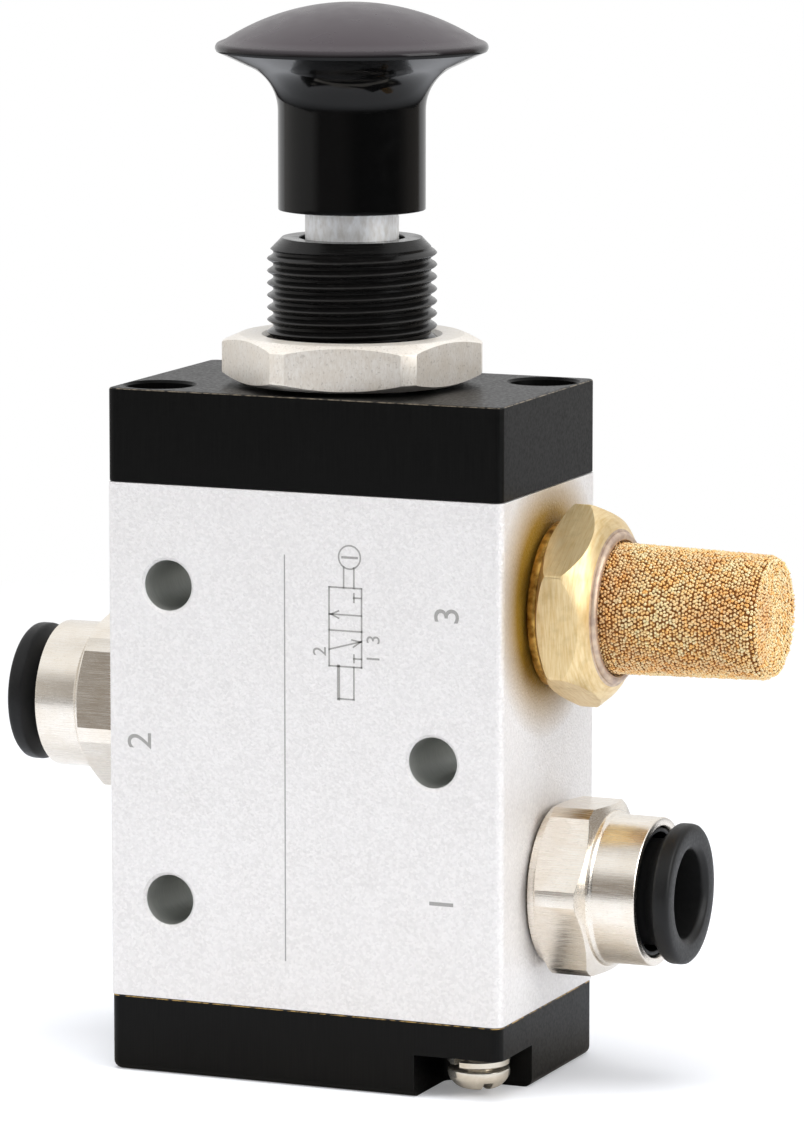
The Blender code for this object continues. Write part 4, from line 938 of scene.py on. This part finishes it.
def build_silencer_body():
    axis = X_AXIS
    origin, first, last = sideways_place("silencer_body", axis)
    hex_start = last - 5.5
    hex_end = last - 0.4
    corner = 17 / math.sqrt(3)
    corner_limit = 9.85
    thread, bore, flange = 6.3, 3.5, 7.9
    seat = last - 3.7
    turn = math.radians(6)
    piece = hexagon("silencer_hexagon", corner, origin, axis, hex_start, hex_end - hex_start, turn)
    outline = [(hex_start, 0), (hex_start, 8.2, 0.1), (hex_start + 1.1, corner_limit, 0.4)]
    outline += [(hex_end - 2.45, corner_limit, 0.5), (hex_end - 0.75, 8.45, 0.6)]
    outline += [(hex_end - 0.02, 7.2, 0.2), (hex_end - 0.02, 0)]
    combine_round(piece, outline, origin, axis, "INTERSECT")
    core = [(first, bore), (first, 6.1, 0.1), (first + 0.4, thread), (hex_start - 1.02, thread)]
    core += [(hex_start - 1.02, flange, 0.3), (hex_start - 0.1, flange, 0.3), (hex_start + 0.1, 7.5)]
    core += [(hex_end - 0.3, 7.0), (hex_end - 0.1, 7.1, 0.1), (hex_end + 0.1, 7.15, 0.15)]
    core += [(last, 6.85, 0.15), (last, 6.4, 0.1), (last - 0.6, thread)]
    core += [(seat, thread), (seat, bore), (first, bore)]
    combine_round(piece, core, origin, axis, "UNION")
    bored = [(first - 1, 0), (first - 1, bore), (seat, bore)]
    bored += [(seat, thread), (last + 1, thread), (last + 1, 0)]
    combine_round(piece, bored, origin, axis)
    dress(piece, "silencer_body", brass, sharp=math.radians(24))
    finish_faces(piece, tarnish, lambda face: face.center.x > mm(hex_end - 0.12))
    # The flange and the back of the hexagon take painted shade, dark gold beside the body.
    finish_faces(piece, flange_shade, lambda face: face.center.x < mm(hex_start + 0.05))


# The size of the bronze powder, and how far the middles of its grains lie under the cup's outline
GRAIN = 0.36
GRAIN_DEPTH = 0.2


def grain_rings(path):
    """Walk along a profile by the height of a row of grains, and give each ring's place and radius."""
    rings = []
    for (along, radius), (next_along, next_radius) in zip(path, path[1:]):
        length = math.hypot(next_along - along, next_radius - radius)
        rows = max(1, round(length / (GRAIN * 0.86)))
        for row in range(rows):
            share = row / rows
            rings.append((along + (next_along - along) * share, radius + (next_radius - radius) * share))
    return rings


def build_element():
    """The sintered cup: a dark wall, all over it round grains of bronze powder."""
    axis = X_AXIS
    origin, first, last = sideways_place("silencer_element", axis)
    wide, narrow, edge = 6.25, 5.9, 0.9
    path = [(first + 3.2, wide), (last - edge, narrow), (last - edge * 0.3, narrow - edge * 0.3)]
    path += [(last, narrow - edge), (last, 0)]
    path = [(min(along, last - GRAIN_DEPTH), max(radius - GRAIN_DEPTH, 0)) for along, radius in path]
    sunk = 0.1
    core = [(first, 4.2), (first, wide - 0.05), (first + 3.1, wide - 0.05)]
    core += [(along - sunk, max(radius - sunk, 0)) for along, radius in path]
    core += [(last - 2, 0), (last - 2, 3.8), (first, 4.2)]
    piece = turned("sintered_cup", core, origin, axis, FINE_TURN)
    draw = random.Random(7)
    deselect()
    bpy.ops.mesh.primitive_ico_sphere_add(subdivisions=1, radius=mm(GRAIN * 0.5))
    seed = bpy.context.object
    points = [vertex.co.copy() for vertex in seed.data.vertices]
    faces = [tuple(face.vertices) for face in seed.data.polygons]
    bpy.data.objects.remove(seed)
    grown_points = []
    grown_faces = []
    for row, (along, radius) in enumerate(grain_rings(path)):
        count = max(1, round(math.tau * radius / GRAIN))
        for step in range(count):
            angle = math.tau * (step + 0.5 * (row % 2) + draw.uniform(-0.22, 0.22)) / count
            depth = draw.uniform(-0.09, 0.0)
            place = min(along + draw.uniform(-0.08, 0.08), last - GRAIN_DEPTH)
            if radius < narrow - edge:
                place += depth
            spot = origin + axis * mm(place)
            spot += Vector((0, math.cos(angle), math.sin(angle))) * mm(max(radius + depth, 0))
            twist = Matrix.Rotation(draw.uniform(0, math.tau), 3, Vector((draw.random(), draw.random(), 1)))
            size = draw.uniform(0.84, 1.1)
            base = len(grown_points)
            grown_points += [spot + twist @ (point * size) for point in points]
            grown_faces += [tuple(base + index for index in face) for face in faces]
    mesh = bpy.data.meshes.new("grains")
    mesh.from_pydata(grown_points, [], grown_faces)
    grains = bpy.data.objects.new("grains", mesh)
    bpy.context.scene.collection.objects.link(grains)
    grains.data.materials.append(bronze)
    grains.data.shade_smooth()
    piece.data.materials.append(pores)
    pick(piece)
    bpy.ops.object.shade_smooth_by_angle(angle=SHARP)
    grains.select_set(True)
    bpy.ops.object.join()
    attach(piece, "housing")
    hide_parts("silencer_element")


# Laser marks on the front face: a plain rule, the valve's symbol, and port numbers

MARK_DEPTH = 0.012
MARK_WIDTH = 0.15
# The symbol's two boxes, one above the other, and the spring's box below them
BOX_LEFT, BOX_RIGHT, BOX_LOW, BOX_MIDDLE, BOX_HIGH = 2.8, 6.07, 40.3, 43.66, 47.7
TAIL_LEFT, TAIL_RIGHT, TAIL_LOW = 3.74, 5.29, 37.25
# Strokes from one (x, z) to another, with a width where it isn't MARK_WIDTH
STROKES = [
    (-1.7, 12.0, -1.7, 50.4, 0.12),
    (BOX_LEFT, BOX_LOW, BOX_LEFT, BOX_HIGH),
    (BOX_RIGHT, BOX_LOW, BOX_RIGHT, BOX_HIGH),
    (BOX_LEFT, BOX_LOW, BOX_RIGHT, BOX_LOW),
    (BOX_LEFT, BOX_MIDDLE, BOX_RIGHT, BOX_MIDDLE),
    (BOX_LEFT, BOX_HIGH, BOX_RIGHT, BOX_HIGH),
    (4.27, BOX_HIGH, 4.27, 49.65),
    (5.3, BOX_HIGH, 5.3, 49.6),
    (4.15, 50.55, 5.6, 50.55, 0.22),
    (BOX_RIGHT, 45.16, BOX_LEFT, 45.16),
    (3.0, 45.16, 3.75, 45.5),
    (3.0, 45.16, 3.75, 44.82),
    (BOX_RIGHT, 46.8, 5.3, 46.8),
    (5.3, 46.4, 5.3, 47.2),
    (BOX_LEFT, 41.85, BOX_RIGHT, 42.75),
    (5.95, 42.7, 5.1, 42.85),
    (5.95, 42.7, 5.25, 42.2),
    (BOX_RIGHT, 41.1, 5.3, 41.1),
    (5.3, 40.75, 5.3, 41.45),
    (TAIL_LEFT, TAIL_LOW, TAIL_LEFT, BOX_LOW, 0.3),
    (TAIL_RIGHT, TAIL_LOW, TAIL_RIGHT, BOX_LOW),
    (TAIL_LEFT, TAIL_LOW, TAIL_RIGHT, TAIL_LOW),
]
# Port numbers beside the ports and beside the symbol, as (number, x, z, size)
NUMBERS = [
    ("2", -16.5, 31.9, 3.5), ("3", 14.7, 45.7, 3.5), ("1", 14.2, 18.6, 3.5),
    ("2", 1.9, 41.6, 1.9), ("3", 7.3, 43.0, 1.9), ("1", 7.3, 41.2, 1.9),
]


def stroke(face, x, z, end_x, end_z, width=MARK_WIDTH):
    """A thin flat stroke on the front face, from one place to another."""
    length = math.hypot(end_x - x, end_z - z) + width
    half = Vector((mm(length), mm(2 * MARK_DEPTH), mm(width))) / 2
    piece = block("mark", -half, half)
    middle = Vector((mm(x + end_x) / 2, face, mm(z + end_z) / 2))
    slope = math.atan2(end_z - z, end_x - x)
    piece.matrix_world = Matrix.Translation(middle) @ Matrix.Rotation(-slope, 4, "Y")
    settle(piece)
    return piece


def number_mark(text, x, z, size, face):
    """A plain number on the front face, turned a quarter to the left."""
    deselect()
    bpy.ops.object.text_add()
    piece = bpy.context.object
    piece.data.body = text
    piece.data.size = mm(size)
    piece.data.align_x = "CENTER"
    piece.data.align_y = "CENTER"
    piece.data.extrude = mm(MARK_DEPTH)
    bpy.ops.object.convert(target="MESH")
    upright_text = Matrix.Rotation(math.radians(90), 4, "X")
    sideways = Matrix.Rotation(math.radians(-90), 4, "Y")
    piece.matrix_world = Matrix.Translation((mm(x), face, mm(z))) @ sideways @ upright_text
    settle(piece)
    return piece


def build_marks():
    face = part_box("valve_body")[0].y
    marks = [stroke(face, *place) for place in STROKES]
    marks += [number_mark(*number, face) for number in NUMBERS]
    knob_middle = Vector((mm(4.86), face, mm(50.57)))
    inner, outer = 1.02, 1.17
    ring = [(-MARK_DEPTH, inner), (MARK_DEPTH, inner), (MARK_DEPTH, outer)]
    ring += [(-MARK_DEPTH, outer), (-MARK_DEPTH, inner)]
    marks.append(turned("ring", ring, knob_middle, -Y_AXIS, SMALL_TURN))
    pick(marks[0])
    for piece in marks[1:]:
        piece.select_set(True)
    bpy.ops.object.join()
    piece = bpy.context.object
    piece.name = "laser_marks"
    piece.data.materials.clear()
    piece.data.materials.append(mark_grey)
    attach(piece, "housing")


build_knob()
build_bushing()
build_rod()
build_nut()
build_body()
build_top_cover()
build_bottom_cover()
for node, name, degrees in (
    ("bottom_cover_screw_right", "cover_screw_lower_right", -48),
    ("bottom_cover_screw_left", "cover_screw_lower_left", 10),
    ("top_cover_screw_left", "cover_screw_upper_left", 35),
    ("top_cover_screw_right", "cover_screw_upper_right", -20),
):
    build_screw(node, name, math.radians(degrees))
for side, degrees in (("right", 253), ("left", 40)):
    build_spring_washer(side, math.radians(degrees))
build_fitting("p", 1, math.radians(28))
build_fitting("a", -1, math.radians(13.5))
build_silencer_body()
build_element()
build_marks()

# The CAD nodes that stay take a finish of their own, by the first of these words in their names
KEPT = {
    "seal": rubber,
    "spool": bright_steel,
    "detent": zinc,
    "grab_ring": zinc,
}
for name, node in frame["nodes"].items():
    for word, finish in KEPT.items():
        if word in name:
            node.data.materials.clear()
            node.data.materials.append(finish)
            break


# Floor, light and camera

def build_floor():
    """A sheet of white paper, which fades into the white background."""
    deselect()
    bpy.ops.mesh.primitive_plane_add(size=0.66)
    floor = bpy.context.object
    floor.name = "floor"
    made = bpy.data.materials.new("white_paper")
    made.use_nodes = True
    tree = made.node_tree
    tree.nodes.clear()
    path = add(tree, "LightPath")
    coordinates = add(tree, "TexCoord").outputs["Object"]
    away = worked("VectorMath", "LENGTH", coordinates)
    white = add(tree, "BsdfDiffuse", {}, {"Color": linear("#F1F2F5")})
    glow = add(tree, "Emission", {}, {"Color": linear("#FFFFFF"), "Strength": 0.2})
    near = add(tree, "AddShader", {}, {0: white, 1: glow})
    # What shiny metal mirrors of it is dimmer under the valve, a painted shadow, and dark far away.
    sheet = graded(away, 0.026, 0.036, "#D6CFC6", "#ECEDF0")
    sheet = graded(away, 0.16, 0.34, sheet, "#4E4C4A")
    dimmed = add(tree, "BsdfDiffuse", {}, {"Color": sheet})
    far = add(tree, "Emission", {}, {"Color": linear("#FFFFFF"), "Strength": 1.0})
    both = add(tree, "MixShader", {}, {
        "Fac": spread(away, 0.1, 0.3), 1: near, 2: far,
    })
    mirrored = add(tree, "MixShader", {}, {
        "Fac": path.outputs["Is Glossy Ray"], 1: white, 2: dimmed,
    })
    shown = add(tree, "MixShader", {}, {
        "Fac": path.outputs["Is Camera Ray"], 1: mirrored, 2: both,
    })
    add(tree, "OutputMaterial", {}, {"Surface": shown})
    floor.data.materials.append(made)


def build_world():
    """White to the camera. Shiny metal mirrors grey in front, dark at the right, and pale elsewhere."""
    world = bpy.data.worlds.new("studio")
    bpy.context.scene.world = world
    world.use_nodes = True
    tree = world.node_tree
    tree.nodes.clear()
    direction = add(tree, "TexCoord").outputs["Generated"]
    height = part_of(direction, "Z")

    def towards(x, y):
        return worked("VectorMath", "DOT_PRODUCT", direction, (x, y, 0))

    to_front = towards(0, -1)
    to_right = towards(0.9, -0.43)
    to_left = towards(-0.95, -0.31)
    to_back = towards(-0.385, 0.923)
    low = spread(height, 0.05, -0.1)
    low_front = worked("Math", "MULTIPLY", low, spread(to_front, 0.4, 0.8))
    around = mixed(low_front, "#938D87", "#6A6663")
    around = graded(to_right, 0.55, 0.85, around, "#262524")
    around = graded(to_left, 0.72, 0.88, around, "#D8D6D3")
    around = graded(to_back, 0.6, 0.68, around, "#F4F4F4")
    overhead = graded(height, 0.8, 1.0, "#FFFFFF", "#C8C8C8")
    mirrored = graded(height, 0.38, 0.62, around, overhead)
    path = add(tree, "LightPath")
    rays = path.outputs["Is Glossy Ray"], path.outputs["Is Transmission Ray"]
    ambient = mixed(worked("Math", "MAXIMUM", *rays), "#A9ACB1", mirrored)
    colour = mixed(path.outputs["Is Camera Ray"], ambient, "#FFFFFF")
    glow = add(tree, "Background", {}, {"Color": colour, "Strength": 1.0})
    add(tree, "OutputWorld", {}, {"Surface": glow})


def build_lamp(name, place, size, power, mirrored=True):
    """A soft rectangular lamp, aimed at the middle of the valve."""
    aim = Vector((0, 0, mm(50)))
    light = bpy.data.lights.new(name, "AREA")
    light.shape = "RECTANGLE"
    light.size = size[0]
    light.size_y = size[1]
    light.energy = power
    lamp = bpy.data.objects.new(name, light)
    bpy.context.scene.collection.objects.link(lamp)
    lamp.location = place
    lamp.rotation_euler = (aim - Vector(place)).to_track_quat("-Z", "Y").to_euler()
    lamp.visible_glossy = mirrored


def build_camera():
    camera = bpy.data.cameras.new("camera")
    camera.lens = 207.4
    camera.sensor_width = 36
    camera.clip_start = 0.01
    viewer = bpy.data.objects.new("camera", camera)
    bpy.context.scene.collection.objects.link(viewer)
    viewer.location = (0.2374, -0.5573, 0.1404)
    viewer.rotation_euler = Vector((0.3804, -0.9125, 0.1507)).to_track_quat("Z", "Y").to_euler()
    bpy.context.scene.camera = viewer


build_floor()
build_world()
build_lamp("lamp_over", (0.05, -0.1, 0.7), (0.5, 0.5), 3.6, mirrored=False)
build_lamp("lamp_left", (-0.6, -0.45, 0.35), (0.4, 0.5), 2.5, mirrored=False)
build_lamp("lamp_right", (0.65, -0.05, 0.3), (0.4, 0.5), 2.4)
build_camera()
bpy.context.scene.view_settings.view_transform = "Standard"

for piece in bpy.context.scene.objects:
    piece.select_set(False)
